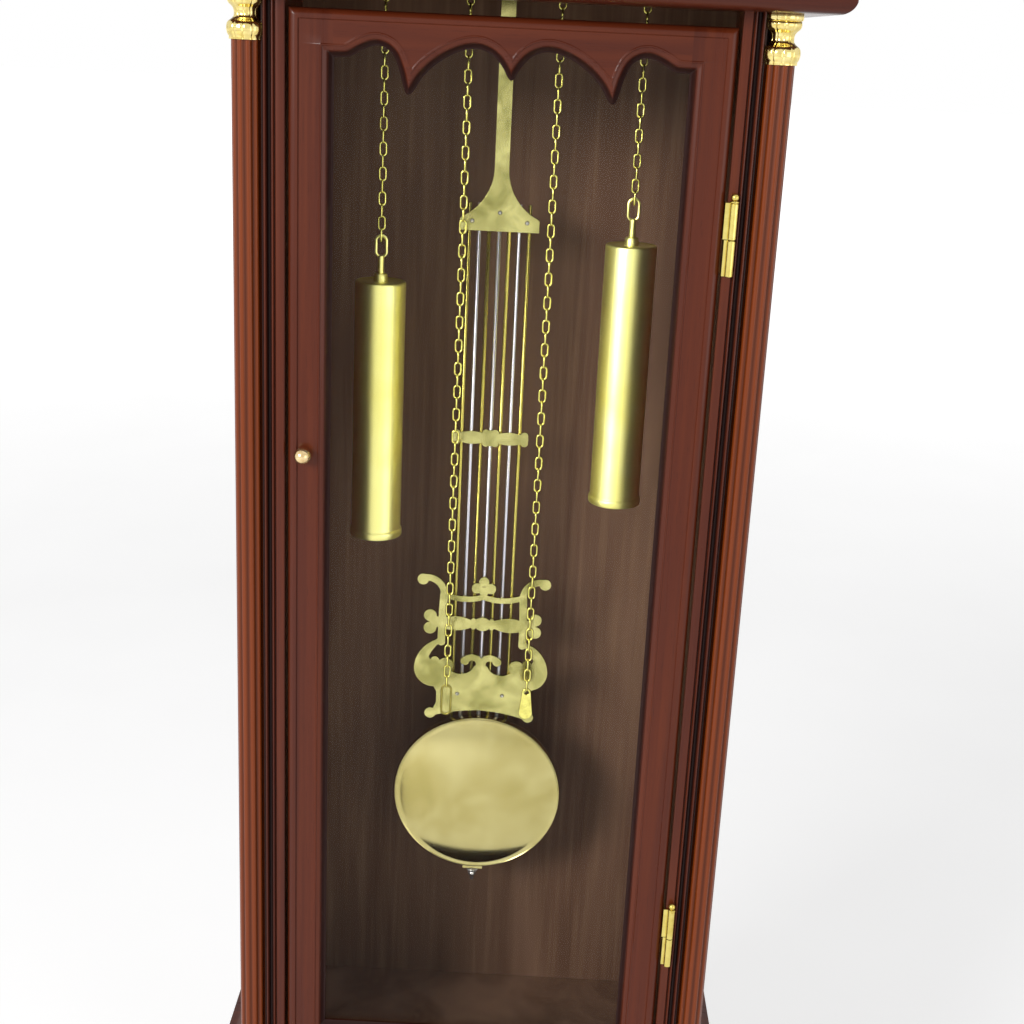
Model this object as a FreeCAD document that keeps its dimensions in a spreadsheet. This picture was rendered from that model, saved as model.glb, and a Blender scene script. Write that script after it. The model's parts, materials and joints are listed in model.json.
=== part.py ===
"""Longcase clock with a glazed trunk door, two weights on chains and a lyre pendulum.

Millimetres. X runs to the right, Y to the back, Z up. The origin is on the floor under the middle
of the case. Every size is a cell of the sheet, and the sub-parts are bound to those cells.
"""
import FreeCAD, Part
import Sketcher
import math
import os

V = FreeCAD.Vector
X_AXIS = V(1, 0, 0)
Y_AXIS = V(0, 1, 0)
Z_AXIS = V(0, 0, 1)
doc = FreeCAD.newDocument("longcase_clock")
sheet = doc.addObject("Spreadsheet::Sheet", "Sizes")
nodes = {}


class Size:
    """A length that knows both its value and the formula over the sheet that gives it."""

    def __init__(self, value, text):
        self.value = float(value)
        self.text = text

    def __float__(self):
        return self.value

    def __add__(self, other):
        return Size(self.value + float(other), "(%s+%s)" % (self.text, formula(other)))

    def __radd__(self, other):
        return Size(float(other) + self.value, "(%s+%s)" % (formula(other), self.text))

    def __sub__(self, other):
        return Size(self.value - float(other), "(%s-%s)" % (self.text, formula(other)))

    def __rsub__(self, other):
        return Size(float(other) - self.value, "(%s-%s)" % (formula(other), self.text))

    def __mul__(self, other):
        return Size(self.value * float(other), "(%s*%s)" % (self.text, formula(other)))

    def __rmul__(self, other):
        return Size(float(other) * self.value, "(%s*%s)" % (formula(other), self.text))

    def __truediv__(self, other):
        return Size(self.value / float(other), "(%s/%s)" % (self.text, formula(other)))

    def __neg__(self):
        return Size(-self.value, "(0-%s)" % self.text)


def formula(length):
    return length.text if isinstance(length, Size) else "(%.9f)" % float(length)


def root(square):
    return Size(math.sqrt(float(square)), "sqrt(%s)" % formula(square))


class Sheet:
    """The driving dimensions, each one read as an attribute."""

    def __init__(self):
        self.row = 0

    def keep(self, lengths):
        for alias, length in lengths.items():
            self.row += 1
            cell = "B%d" % self.row
            sheet.set("A%d" % self.row, alias)
            sheet.set(cell, str(length))
            sheet.setAlias(cell, alias)
            setattr(self, alias, Size(length, "Sizes." + alias))


# Case: base, back and trunk boards
CASE = {"base_width": 490, "base_out": 25, "base_height": 388, "base_lift": 30, "base_board": 18,
        "skirt_height": 92, "skirt_out": 17, "skirt_foot": 95, "skirt_rise": 52, "panel_border": 58,
        "panel_groove": 9, "panel_depth": 5, "back_board": 8,
        "trunk_depth": 223, "front_reach": 57, "side_board": 20, "seat_gap": 0.3, "overrun": 5}

# Waist moulding and trunk front
TRUNK_FRONT = {"waist_height": 32, "waist_lip": 4, "waist_neck": 4, "floor_board": 18,
               "trunk_rail": 12, "column_radius": 12, "stile_depth": 38, "rail_depth": 26,
               "reed_width": 5.4, "reed_groove": 1.9, "reed_depth": 2.2, "hinge_gap": 2.2,
               "capital_height": 38, "capital_radius": 15.5, "foot_height": 30}

# Trunk door, its glass and knob
DOOR = {"door_set_in": 46, "door_height": 951, "door_thickness": 20, "door_gap": 2,
        "door_top_gap": 16, "door_member": 35, "door_edge": 6, "door_quirk": 1.5, "door_lip": 2,
        "moulding_width": 9, "moulding_depth": 8, "sight_edge": 4, "glass_thickness": 3,
        "rebate_width": 8, "glass_play": 0.4, "top_member": 32, "scallop_rise": 10,
        "scallop_drop": 29, "knob_radius": 6.4, "knob_length": 18, "knob_height": 599,
        "knob_inset": 14}

# Hinges of the trunk door
HINGE = {"barrel_radius": 3.4, "barrel_length": 58, "pin_radius": 1.6, "pin_play": 0.3,
         "ball_radius": 3, "leaf": 0.9, "leaf_depth": 17, "axis_out": 7, "hinge_low": 153,
         "hinge_high": 157, "knuckle_play": 0.4}

# Hood
HOOD = {"ledge_height": 29, "ledge_out": 35, "ledge_under": 24, "ledge_top": 27, "hood_over": 1,
        "hood_board": 14, "mask_setback": 4, "mask_board": 12, "mask_edge": 3, "hood_rail": 40,
        "hood_door_thickness": 18, "hood_door_play": 0.9, "hood_rebate": 7, "hood_rebate_depth": 8,
        "hood_column_radius": 9, "hood_column_gap": 10, "cap_height": 24, "cap_radius": 11.5,
        "cornice_height": 45, "cornice_out": 24, "cornice_gap": 16, "roof_board": 6,
        "hood_pin_radius": 2.2, "hood_pin_length": 12, "hood_pin_inset": 3.6, "hood_knob_radius": 6,
        "hood_knob_length": 15}

# Dial and hands
DIAL = {"dial_width": 250, "dial_arch": 88, "dial_plate": 2, "dial_over": 6, "dial_hole": 9,
        "chapter_outer": 118, "chapter_inner": 88, "chapter_thickness": 1.5, "hand_thickness": 1.5,
        "hand_gap": 2, "minute_length": 108, "hour_length": 72, "hand_hub": 8, "hand_bar": 3.4,
        "cannon_radius": 3, "pipe_radius": 5.2, "arbor_play": 0.3}

# Movement
MOVEMENT = {"bob_below_ledge": 751, "pivot_rise": 47, "pendulum_offset": 7.5, "seat_board": 18,
            "seat_depth": 130, "cheek_rise": 80, "plate_half_width": 96, "plate_thickness": 3,
            "plate_above": 70, "plate_front": 38, "plate_back": 121, "pillar_radius": 6,
            "pillar_inset": 14, "chain_plane": 95, "pendulum_plane": 140, "chain_spread": 73,
            "chain_wheel_radius": 35, "chain_wheel_rise": 11, "chain_wheel_width": 9,
            "chain_flange": 3, "arbor_radius": 4, "pivot_radius": 2, "escape_radius": 15,
            "escape_thickness": 2, "escape_tooth": 3.4, "escape_drop": 24, "escape_setback": 24,
            "pallet_clearance": 2, "cock_width": 26, "cock_height": 16, "cock_gap": 0.6,
            "crutch_length": 95, "crutch_bar": 3, "gong_radius": 2.5, "gong_length": 230,
            "gong_pitch": 11, "gong_block": 22, "gong_inset": 50}

# Chains and their ends
CHAIN = {"link_pitch": 10.4, "link_length": 13.5, "link_width": 7.2, "link_wire": 1.5,
         "link_play": 0.1, "end_length": 32, "end_width": 11, "end_wire": 2.2, "tag_width": 13}

# Weights
WEIGHT = {"weight_length": 238, "weight_radius": 22.3, "weight_rim": 23.6, "rim_height": 7,
          "rim_step": 3, "weight_nut": 6, "hook_rod": 2.8, "hook_height": 39, "eye_height": 21,
          "eye_width": 12, "eye_wire": 2.2, "tip_radius": 3.5, "tip_length": 5}

# Pendulum
PENDULUM = {"stem_width": 13, "stem_thickness": 3, "spade_width": 71, "spade_band": 12,
            "spade_flare": 45, "spade_above_bob": 558.5, "spade_arc": 48, "spring_width": 8,
            "spring_length": 22, "spring_thickness": 1, "rod_radius": 2.1, "rod_pitch": 9,
            "rod_end": 20, "clip_above_bob": 360, "clip_height": 16, "clip_half_width": 35,
            "clip_plate": 2.5, "lyre_half_width": 65, "lyre_above_bob": 80.5, "lyre_height": 150.5,
            "lyre_plate": 3, "bob_radius": 82.5, "bob_thickness": 16, "bob_rim": 4, "bob_edge": 8,
            "nut_radius": 8, "nut_height": 9.5, "nut_play": 0.3, "nut_gap": 4.5, "cleat_width": 20,
            "cleat_height": 30, "stud_below": 8}

s = Sheet()
for table in (CASE, TRUNK_FRONT, DOOR, HINGE, HOOD, DIAL, MOVEMENT, CHAIN, WEIGHT, PENDULUM):
    s.keep(table)

# Counts
REEDS = 10
LEFT_LINKS = 39
RIGHT_LINKS = 35
FREE_LINKS = 79
RODS = 7
ESCAPE_TEETH = 30
GONGS = 4

# Planes across the depth
back = (s.trunk_depth + s.front_reach) / 2
board_front = back - s.back_board
face = back - s.trunk_depth
base_front = face - s.base_out
chain_y = face + s.chain_plane
plate_y = face + s.pendulum_plane
mask_front = face + s.mask_setback
mask_back = mask_front + s.mask_board
hood_door_back = mask_front - s.hood_door_play

# Places across the width
base_half = s.base_width / 2
trunk_half = base_half - s.base_out
hood_half = base_half + s.hood_over
side_inner = trunk_half - 2 * s.column_radius - s.seat_gap
side_outer = side_inner + s.side_board
door_half = trunk_half - s.door_set_in
stile_inner = door_half + s.hinge_gap
sight_half = door_half - s.door_member
dial_half = s.dial_width / 2
swing_x = -s.pendulum_offset
door_frame_half = dial_half + s.hood_rail
column_x = trunk_half - s.column_radius
column_y = face + s.column_radius
side_front = face + 2 * s.column_radius + s.seat_gap
hood_column_x = door_frame_half + s.hood_column_gap + s.hood_column_radius + s.cap_radius / 2
hood_column_y = mask_front - s.seat_gap - s.cap_radius

# Heights
base_top = s.base_lift + s.base_height
waist_top = base_top + s.waist_height
door_low = waist_top + s.trunk_rail + s.door_gap
door_high = door_low + s.door_height
ledge_low = door_high + s.door_top_gap
ledge_high = ledge_low + s.ledge_height
bob_z = ledge_low - s.bob_below_ledge
hood_door_low = ledge_high + s.door_gap
dial_z = hood_door_low + s.hood_rail + dial_half
pivot_z = dial_z + s.pivot_rise
arch_z = dial_z + dial_half
door_arch = s.dial_arch + s.hood_rail
cornice_low = arch_z + s.hood_rail + s.cornice_gap
cornice_arch = door_arch + s.cornice_gap
cornice_high = cornice_low + s.cornice_height
roof_arch = cornice_arch + s.cornice_height - s.roof_board
roof_high = cornice_high - s.roof_board
cheek_top = ledge_high + s.cheek_rise
seat_top = cheek_top + s.seat_board
wheel_z = dial_z + s.chain_wheel_rise


def part(kind, name):
    return doc.addObject(kind, name)


def bind(obj, prop, length):
    obj.setExpression(prop, formula(length))


def node(obj, name):
    """Give a finished sub-part the name that its file gets."""
    obj.Label = name
    nodes[name] = obj
    return obj


def draw_loop(sketch, corners):
    """A closed outline. A corner (u, v) is reached by a straight line, and a corner (u, v, radius)
    by an arc under a half turn, which turns left where the radius is positive."""
    first = sketch.GeometryCount
    count = len(corners)
    ends = []
    for index in range(count):
        here = corners[index]
        there = corners[(index + 1) % count]
        start = V(float(here[0]), float(here[1]), 0)
        stop = V(float(there[0]), float(there[1]), 0)
        if len(there) == 2:
            sketch.addGeometry(Part.LineSegment(start, stop), False)
            ends.append((1, 2))
            continue
        radius = abs(float(there[2]))
        turn = math.copysign(1, float(there[2]))
        chord = stop - start
        reach = math.sqrt(max(radius ** 2 - chord.Length ** 2 / 4, 0))
        side = V(-chord.y, chord.x, 0).normalize() * (turn * reach)
        centre = start + chord / 2 + side
        low, high = (start, stop) if turn > 0 else (stop, start)
        arc = Part.ArcOfCircle(Part.Circle(centre, Z_AXIS, radius),
                               math.atan2(low.y - centre.y, low.x - centre.x),
                               math.atan2(high.y - centre.y, high.x - centre.x))
        sketch.addGeometry(arc, False)
        ends.append((1, 2) if turn > 0 else (2, 1))
        limit = sketch.addConstraint(Sketcher.Constraint("Radius", first + index, radius))
        bind(sketch, "Constraints[%d]" % limit, there[2] if turn > 0 else -1 * there[2])
    for index in range(count):
        later = (index + 1) % count
        sketch.addConstraint(Sketcher.Constraint("Coincident", first + index, ends[index][1],
                                                 first + later, ends[later][0]))
        for kind, place in (("DistanceX", corners[index][0]), ("DistanceY", corners[index][1])):
            limit = sketch.addConstraint(Sketcher.Constraint(kind, -1, 1, first + index,
                                                             ends[index][0], float(place)))
            bind(sketch, "Constraints[%d]" % limit, place)


def sketch_on(body, role, loops):
    sketch = body.newObject("Sketcher::SketchObject", body.Name + "_outline")
    plane = [each for each in body.Origin.OriginFeatures if each.Role == role][0]
    sketch.AttachmentSupport = [(plane, "")]
    sketch.MapMode = "FlatFace"
    for corners in loops:
        draw_loop(sketch, corners)
    return sketch


def padded(name, role, loops, start, length):
    """A prism over outlines in one of the main planes, from start along that plane's axis."""
    body = part("PartDesign::Body", name)
    feature = body.newObject("PartDesign::Pad", name + "_pad")
    feature.Profile = sketch_on(body, role, loops)
    feature.Reversed = role == "XZ_Plane"
    bind(feature, "Length", length)
    axis = {"XY_Plane": "z", "XZ_Plane": "y", "YZ_Plane": "x"}[role]
    bind(body, "Placement.Base." + axis, start)
    return body


def turned(name, corners, x, y, z, level=False):
    """A turned piece. Its corners are (radius, height) on an upright axis, or (place, radius)
    along Y on a level one."""
    body = part("PartDesign::Body", name)
    feature = body.newObject("PartDesign::Revolution", name + "_turning")
    sketch = sketch_on(body, "YZ_Plane" if level else "XZ_Plane", [corners])
    feature.Profile = sketch
    feature.ReferenceAxis = (sketch, ["H_Axis" if level else "V_Axis"])
    feature.Angle = 360
    bind(body, "Placement.Base.x", x)
    bind(body, "Placement.Base.y", y)
    bind(body, "Placement.Base.z", z)
    return body


def board(name, low, high):
    """A plain board between two corners."""
    box = part("Part::Box", name)
    for prop, axis, start, stop in zip(("Length", "Width", "Height"), "xyz", low, high):
        bind(box, prop, stop - start)
        bind(box, "Placement.Base." + axis, start)
    return box


def pin(name, radius, start, length, axis=Y_AXIS):
    """A round bar from a point along an axis."""
    bar = part("Part::Cylinder", name)
    bind(bar, "Radius", radius)
    bind(bar, "Height", length)
    bar.Placement = FreeCAD.Placement(V(0, 0, 0), FreeCAD.Rotation(Z_AXIS, axis))
    for letter, place in zip("xyz", start):
        bind(bar, "Placement.Base." + letter, place)
    return bar


def cut(name, base, *tools):
    result = part("Part::Cut", name)
    result.Base = base
    result.Tool = tools[0] if len(tools) == 1 else fuse(name + "_tools", *tools)
    return result


def fuse(name, *pieces):
    result = part("Part::MultiFuse", name)
    result.Shapes = list(pieces)
    result.Refine = True
    return result


def group(name, *pieces):
    """Separate solids that share one sub-part."""
    result = part("Part::Compound", name)
    result.Links = list(pieces)
    return result


def mirrored(name, source):
    """The same piece on the other side of the middle plane."""
    result = part("Part::Mirroring", name)
    result.Source = source
    result.Normal = X_AXIS
    return result


def mitred(name, rises, half_width, front, bottom, opening):
    """A moulding round the front and both sides. rises holds (out, height) corners from its foot
    to its top, and opening the low and high corner of the space that it goes round."""
    outer = [(half_width + out, bottom + high) + tuple(rest) for out, high, *rest in rises]
    left = [(-1 * u, v) for u, v, *rest in reversed(outer)]
    bends = [tuple(rest) for u, v, *rest in outer[1:]][::-1]
    left = [left[0]] + [corner + bend for corner, bend in zip(left[1:], bends)]
    reach = max((out for out, *rest in rises), key=float)
    run = board_front - front + reach
    across = padded(name + "_across", "XZ_Plane", [outer + left], front - reach, run)
    inner = [(front - out, bottom + high) + tuple(-1 * bend for bend in rest)
             for out, high, *rest in rises]
    tail = [(board_front, inner[-1][1]), (board_front, inner[0][1])]
    along = padded(name + "_along", "YZ_Plane", [inner + tail], -(half_width + reach),
                   2 * (half_width + reach))
    solid = part("Part::MultiCommon", name + "_solid")
    solid.Shapes = [across, along]
    return cut(name, solid, board(name + "_opening", *opening))


def arched(half, low, shoulder, centre, radius):
    """A break-arch outline: straight sides up to the shoulder and a round arch in the middle."""
    spring = shoulder - centre
    foot = root(radius * radius - spring * spring)
    return [(-half, low), (half, low), (half, shoulder), (foot, shoulder),
            (Size(0, "0"), centre + radius, radius), (-foot, shoulder, radius), (-half, shoulder)]


def reeded(name, x, y, radius, bottom, length):
    """A round column whose surface is a ring of reeds."""
    valley = radius * 0.87
    half_chord = valley * math.sin(math.pi / REEDS)
    swell = radius - valley * math.cos(math.pi / REEDS)
    bend = (half_chord * half_chord + swell * swell) / (2 * swell)
    corners = []
    for index in range(REEDS):
        angle = 2 * math.pi * index / REEDS
        corners.append((x + valley * math.cos(angle), y + valley * math.sin(angle), bend))
    return padded(name, "XY_Plane", [corners], bottom, length)


# Base
def base():
    inner = base_half - s.base_board
    frame = [(-base_half, s.base_lift), (base_half, s.base_lift), (base_half, base_top),
             (-base_half, base_top)]
    front = padded("front_board", "XZ_Plane", [frame], base_front, s.base_board)
    rings = []
    for inset in (s.panel_border, s.panel_border + s.panel_groove):
        low = s.skirt_height + inset / 2
        rings.append([(-base_half + inset, low), (base_half - inset, low),
                      (base_half - inset, base_top - inset), (-base_half + inset, base_top - inset)])
    groove = padded("front_groove", "XZ_Plane", rings, base_front - s.overrun,
                    s.overrun + s.panel_depth)
    node(cut("base_front_panel", front, groove), "base_front_panel")
    behind = base_front + s.base_board
    right = board("base_side", (inner, behind, s.base_lift), (base_half, board_front, base_top))
    node(group("base_sides", right, mirrored("base_side_mirror", right)), "base_sides")
    node(board("base_floor", (-inner, behind, s.base_lift),
               (inner, board_front, s.base_lift + s.base_board)), "base_floor")
    skirt()
    waist()


def skirt():
    rises = [(s.skirt_out, 0 * s.skirt_height), (s.skirt_out, s.skirt_height * 0.78),
             (s.skirt_out * 0.45, s.skirt_height * 0.94, s.skirt_out),
             (s.skirt_out * 0.2, s.skirt_height)]
    ring = mitred("skirt_ring", rises, base_half, base_front, 0 * s.base_lift,
                  ((-base_half, base_front, -s.overrun),
                   (base_half, board_front + s.overrun, s.skirt_height + s.overrun)))
    outer = base_half + s.skirt_out
    bend = s.skirt_rise * 0.5
    gap = outer - s.skirt_foot
    front_gap = [(-gap, -s.overrun), (gap, -s.overrun), (gap, bend), (gap - bend, s.skirt_rise, bend),
                 (bend - gap, s.skirt_rise), (-gap, bend, bend)]
    front = padded("skirt_front_gap", "XZ_Plane", [front_gap], base_front - outer, outer)
    low_y = base_front - s.skirt_out + s.skirt_foot
    high_y = board_front - s.skirt_foot
    side_gap = [(low_y, -s.overrun), (high_y, -s.overrun), (high_y, bend),
                (high_y - bend, s.skirt_rise, bend), (low_y + bend, s.skirt_rise),
                (low_y, bend, bend)]
    sides = padded("skirt_side_gap", "YZ_Plane", [side_gap], -(outer + s.overrun),
                   2 * (outer + s.overrun))
    node(cut("base_skirt", ring, front, sides), "base_skirt")


def waist():
    step = s.waist_height * 0.2
    reach = s.base_out + s.waist_lip
    neck = reach - s.waist_neck
    rises = [(reach, 0 * s.waist_height), (reach, step),
             (s.waist_neck + neck * 0.9, step),
             (s.waist_neck, s.waist_height * 0.85, -1.1 * neck), (s.waist_neck, s.waist_height)]
    opening = ((-side_inner, face + s.rail_depth, base_top - s.overrun),
               (side_inner, board_front + s.overrun, waist_top + s.overrun))
    node(mitred("waist_moulding", rises, trunk_half, face, base_top, opening), "waist_moulding")
    inner = base_half - s.base_board - s.seat_gap
    node(board("case_floor", (-inner, base_front + s.base_board + s.seat_gap, base_top - s.floor_board),
               (inner, board_front - s.seat_gap, base_top)), "case_floor")


# Trunk
def trunk():
    right = board("trunk_side_right", (side_inner, side_front, waist_top),
                  (side_outer, board_front, cheek_top))
    node(right, "trunk_side_right")
    node(mirrored("trunk_side_left", right), "trunk_side_left")
    low = s.base_lift
    spring = roof_high - arch_z
    foot = root(roof_arch * roof_arch - spring * spring)
    outline = [(-base_half, low), (base_half, low), (base_half, base_top), (side_outer, base_top),
               (side_outer, ledge_high), (hood_half, ledge_high), (hood_half, roof_high),
               (foot, roof_high), (Size(0, "0"), arch_z + roof_arch, roof_arch),
               (-foot, roof_high, roof_arch), (-hood_half, roof_high), (-hood_half, ledge_high),
               (-side_outer, ledge_high), (-side_outer, base_top), (-base_half, base_top)]
    node(padded("back_panel", "XZ_Plane", [outline], board_front, s.back_board), "back_panel")
    node(board("trunk_bottom_rail", (-stile_inner, face, waist_top),
               (stile_inner, face + s.rail_depth, waist_top + s.trunk_rail)), "trunk_bottom_rail")
    reeds_from = side_inner - 2 * (s.reed_width + s.reed_groove)
    valley = face + s.reed_depth
    bend = s.reed_width * 0.52
    first = reeds_from + s.reed_groove
    second = first + s.reed_width + s.reed_groove
    plan = [(stile_inner, face), (reeds_from, face), (reeds_from, valley), (first, valley),
            (first + s.reed_width, valley, bend), (second, valley),
            (second + s.reed_width, valley, bend), (side_inner, face + s.stile_depth),
            (stile_inner, face + s.stile_depth)]
    stile = padded("stile_right", "XY_Plane", [plan], waist_top, ledge_low - waist_top)
    node(stile, "stile_right")
    node(mirrored("stile_left", stile), "stile_left")
    foot_top = waist_top + s.foot_height
    column = reeded("column_right", column_x, column_y, s.column_radius, foot_top,
                    ledge_low - s.capital_height - foot_top)
    node(column, "column_right")
    node(mirrored("column_left", column), "column_left")


def column_caps():
    """The brass capital and foot of each column, on the trunk and on the hood."""
    trunk_caps = (notched("capital", column_x, column_y, s.capital_radius, ledge_low, -s.capital_height),
                  notched("foot", column_x, column_y, s.capital_radius, waist_top, s.foot_height))
    hood_caps = (turned("hood_cap", cap_outline(s.cap_radius, -s.cap_height), hood_column_x,
                        hood_column_y, cornice_low),
                 turned("hood_foot", cap_outline(s.cap_radius, s.cap_height), hood_column_x,
                        hood_column_y, ledge_high))
    for name, caps in (("trunk_column_caps", trunk_caps), ("hood_column_caps", hood_caps)):
        others = [mirrored(each.Name + "_left", each) for each in caps]
        node(group(name, *caps, *others), name)


def notched(name, x, y, radius, plate_end, height):
    """A brass capital or foot, cut away where the stile and the side board stand behind it."""
    whole = turned(name + "_whole", cap_outline(radius, height), x, y, plate_end)
    low, high = plate_end, plate_end + height
    if float(height) < 0:
        low, high = high, low
    stile = board(name + "_stile_room", (x - 2 * radius, face - s.seat_gap, low - s.overrun),
                  (side_inner + s.seat_gap, y + 2 * radius, high + s.overrun))
    side = board(name + "_side_room", (side_inner, y + s.column_radius, low - s.overrun),
                 (x + 2 * radius, y + 2 * radius, high + s.overrun))
    return cut(name, whole, stile, side)


# Capital from its plate to the ring that holds the column, as shares of its radius and height
CAP_SHARES = [(1, 0), (0.95, 0.32), (0.66, 0.5), (1, 0.84), (0.8, 1)]


def cap_outline(radius, height):
    """From the square-edged plate at the end to the ring that holds the column."""
    shape = [(radius * out, height * along) for out, along in CAP_SHARES]
    corners = [(Size(0, "0"), 0 * s.overrun)] + shape + [(Size(0, "0"), height)]
    return corners if float(height) > 0 else corners[::-1]


# Trunk door
def door():
    flat = face + s.door_quirk
    sight_front = flat + s.moulding_depth - s.door_quirk
    sight_back = sight_front + s.sight_edge
    rear = face + s.door_thickness
    rebate = sight_half + s.rebate_width
    flat_in = sight_half + s.moulding_width
    flat_out = door_half - s.door_edge - s.door_lip
    plan = [(sight_half, sight_back), (sight_half, sight_front), (flat_in, flat, s.moulding_width),
            (flat_out, flat), (flat_out, face), (door_half - s.door_edge, face),
            (door_half, face + s.door_edge, s.door_edge * 1.1), (door_half, rear), (rebate, rear),
            (rebate, sight_back)]
    whole = padded("door_stile_length", "XY_Plane", [plan], door_low, s.door_height)
    foot_end = door_low + s.door_member
    head_end = door_high - s.top_member - s.rebate_width
    ends = []
    for name, low, high in (("low", door_low - s.overrun, foot_end),
                            ("high", head_end, door_high + s.overrun)):
        ends.append(board("stile_cope_" + name, (sight_half - s.overrun, face - s.overrun, low),
                          (flat_in, rear + s.overrun, high)))
    right = cut("door_stile_right", whole, *ends)
    node(right, "door_stile_right")
    node(mirrored("door_stile_left", right), "door_stile_left")
    rail = [(rear, door_low), (rear, foot_end - s.rebate_width),
            (sight_back, foot_end - s.rebate_width), (sight_back, foot_end),
            (sight_front, foot_end), (flat, foot_end - s.moulding_width, s.moulding_width),
            (flat, door_low + s.door_edge + s.door_lip), (face, door_low + s.door_edge + s.door_lip),
            (face, door_low + s.door_edge), (face + s.door_edge, door_low, s.door_edge * 1.1)]
    node(padded("door_bottom_rail", "YZ_Plane", [rail], -flat_in, 2 * flat_in), "door_bottom_rail")
    scalloped_rail(flat, sight_front, sight_back, rear, flat_in, rebate)
    play = s.glass_play
    glass_top = door_high - s.top_member + s.scallop_rise + s.rebate_width
    node(board("door_glass", (play - rebate, sight_back, foot_end - s.rebate_width + play),
               (rebate - play, sight_back + s.glass_thickness, glass_top - play)), "door_glass")
    length = s.knob_length
    knob = [(flat, Size(0, "0")), (flat, s.knob_radius * 0.5), (flat - length * 0.35, s.knob_radius * 0.5),
            (flat - length * 0.65, s.knob_radius), (flat - length, s.knob_radius * 0.6),
            (flat - length, Size(0, "0"))]
    node(turned("door_knob", knob[::-1], -(door_half - s.knob_inset), 0 * flat,
                door_low + s.knob_height, level=True), "door_knob")


# Lower edge of the top rail, as shares of half the glass width and of the rise or drop
SCALLOP_SHARES = [((0.91, 0.0), None), ((0.775, 1.0), (0.85, 0.62)), ((0.62, -0.55), (0.655, 0.4)),
                  ((0.575, -1.0), None), ((0.2, 1.2), (0.4, 0.45)), ((0.0, -0.4), (0.07, 0.62))]


def scallop(lift):
    """The scalloped edge from right to left, raised by lift for the front layer."""
    half = float(sight_half)
    base_z = float(door_high - s.top_member) + lift

    def place(share):
        scale = float(s.scallop_rise) if share[1] > 0 else float(s.scallop_drop)
        return V(share[0] * half, 0, base_z + share[1] * scale)

    steps = [(place(end), place(through) if through else None) for end, through in SCALLOP_SHARES]
    edges = []
    here = V(half, 0, base_z)
    for end, through in steps:
        edges.append(Part.Arc(here, through, end).toShape() if through
                     else Part.LineSegment(here, end).toShape())
        here = end
    wire = Part.Wire(edges)
    other = wire.mirror(V(0, 0, 0), X_AXIS)
    return wire, other, base_z


def rail_layer(lift, front, rear, wide):
    """One layer of the scalloped rail, between two depths."""
    right, left, base_z = scallop(lift)
    half = float(sight_half)
    top = float(door_high)
    square = Part.makePolygon([V(half, 0, base_z), V(wide, 0, base_z), V(wide, 0, top),
                               V(-wide, 0, top), V(-wide, 0, base_z), V(-half, 0, base_z)])
    outline = Part.Wire(Part.__sortEdges__(right.Edges + left.Edges + square.Edges))
    layer = Part.Face(outline).extrude(V(0, rear - front, 0))
    layer.translate(V(0, front, 0))
    return layer


def scalloped_rail(flat, sight_front, sight_back, rear, flat_in, rebate):
    """Top rail of the door: a thin layer at the glass, a thicker one set back from its edge."""
    wide = float(flat_in)
    step = float(s.moulding_width) * 0.5
    middle = (float(flat) + float(sight_front)) / 2
    solid = rail_layer(0.0, float(sight_front), float(rear), wide)
    solid = solid.fuse(rail_layer(step, middle, float(sight_front), wide))
    solid = solid.fuse(rail_layer(2 * step, float(flat), middle, wide))
    top = float(door_high)
    edge = float(s.door_edge)
    lip = float(s.door_lip)
    outer = top - edge
    bend = V(-wide, float(face) + edge * 0.3, top - edge * 0.3)
    shape = Part.Wire([
        Part.LineSegment(V(-wide, float(rear), top), V(-wide, float(face) + edge, top)).toShape(),
        Part.Arc(V(-wide, float(face) + edge, top), bend, V(-wide, float(face), outer)).toShape(),
        Part.LineSegment(V(-wide, float(face), outer), V(-wide, float(face), outer - lip)).toShape(),
        Part.LineSegment(V(-wide, float(face), outer - lip),
                         V(-wide, float(flat), outer - lip)).toShape(),
        Part.LineSegment(V(-wide, float(flat), outer - lip),
                         V(-wide, float(rear), outer - lip)).toShape(),
        Part.LineSegment(V(-wide, float(rear), outer - lip), V(-wide, float(rear), top)).toShape()])
    strip = Part.Face(shape).extrude(V(2 * wide, 0, 0))
    room = Part.makeBox(2 * wide, float(rear - face), top, V(-wide, float(face), outer - lip))
    solid = solid.cut(room).fuse(strip)
    glass_top = float(door_high - s.top_member + s.scallop_rise + s.rebate_width)
    low = float(door_high - s.top_member - s.scallop_drop - s.rebate_width)
    pocket = Part.makeBox(2 * float(rebate), float(rear - sight_back), glass_top - low,
                          V(-float(rebate), float(sight_back), low))
    feature = part("Part::Feature", "door_top_rail")
    feature.Shape = solid.cut(pocket).removeSplitter()
    node(feature, "door_top_rail")


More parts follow.
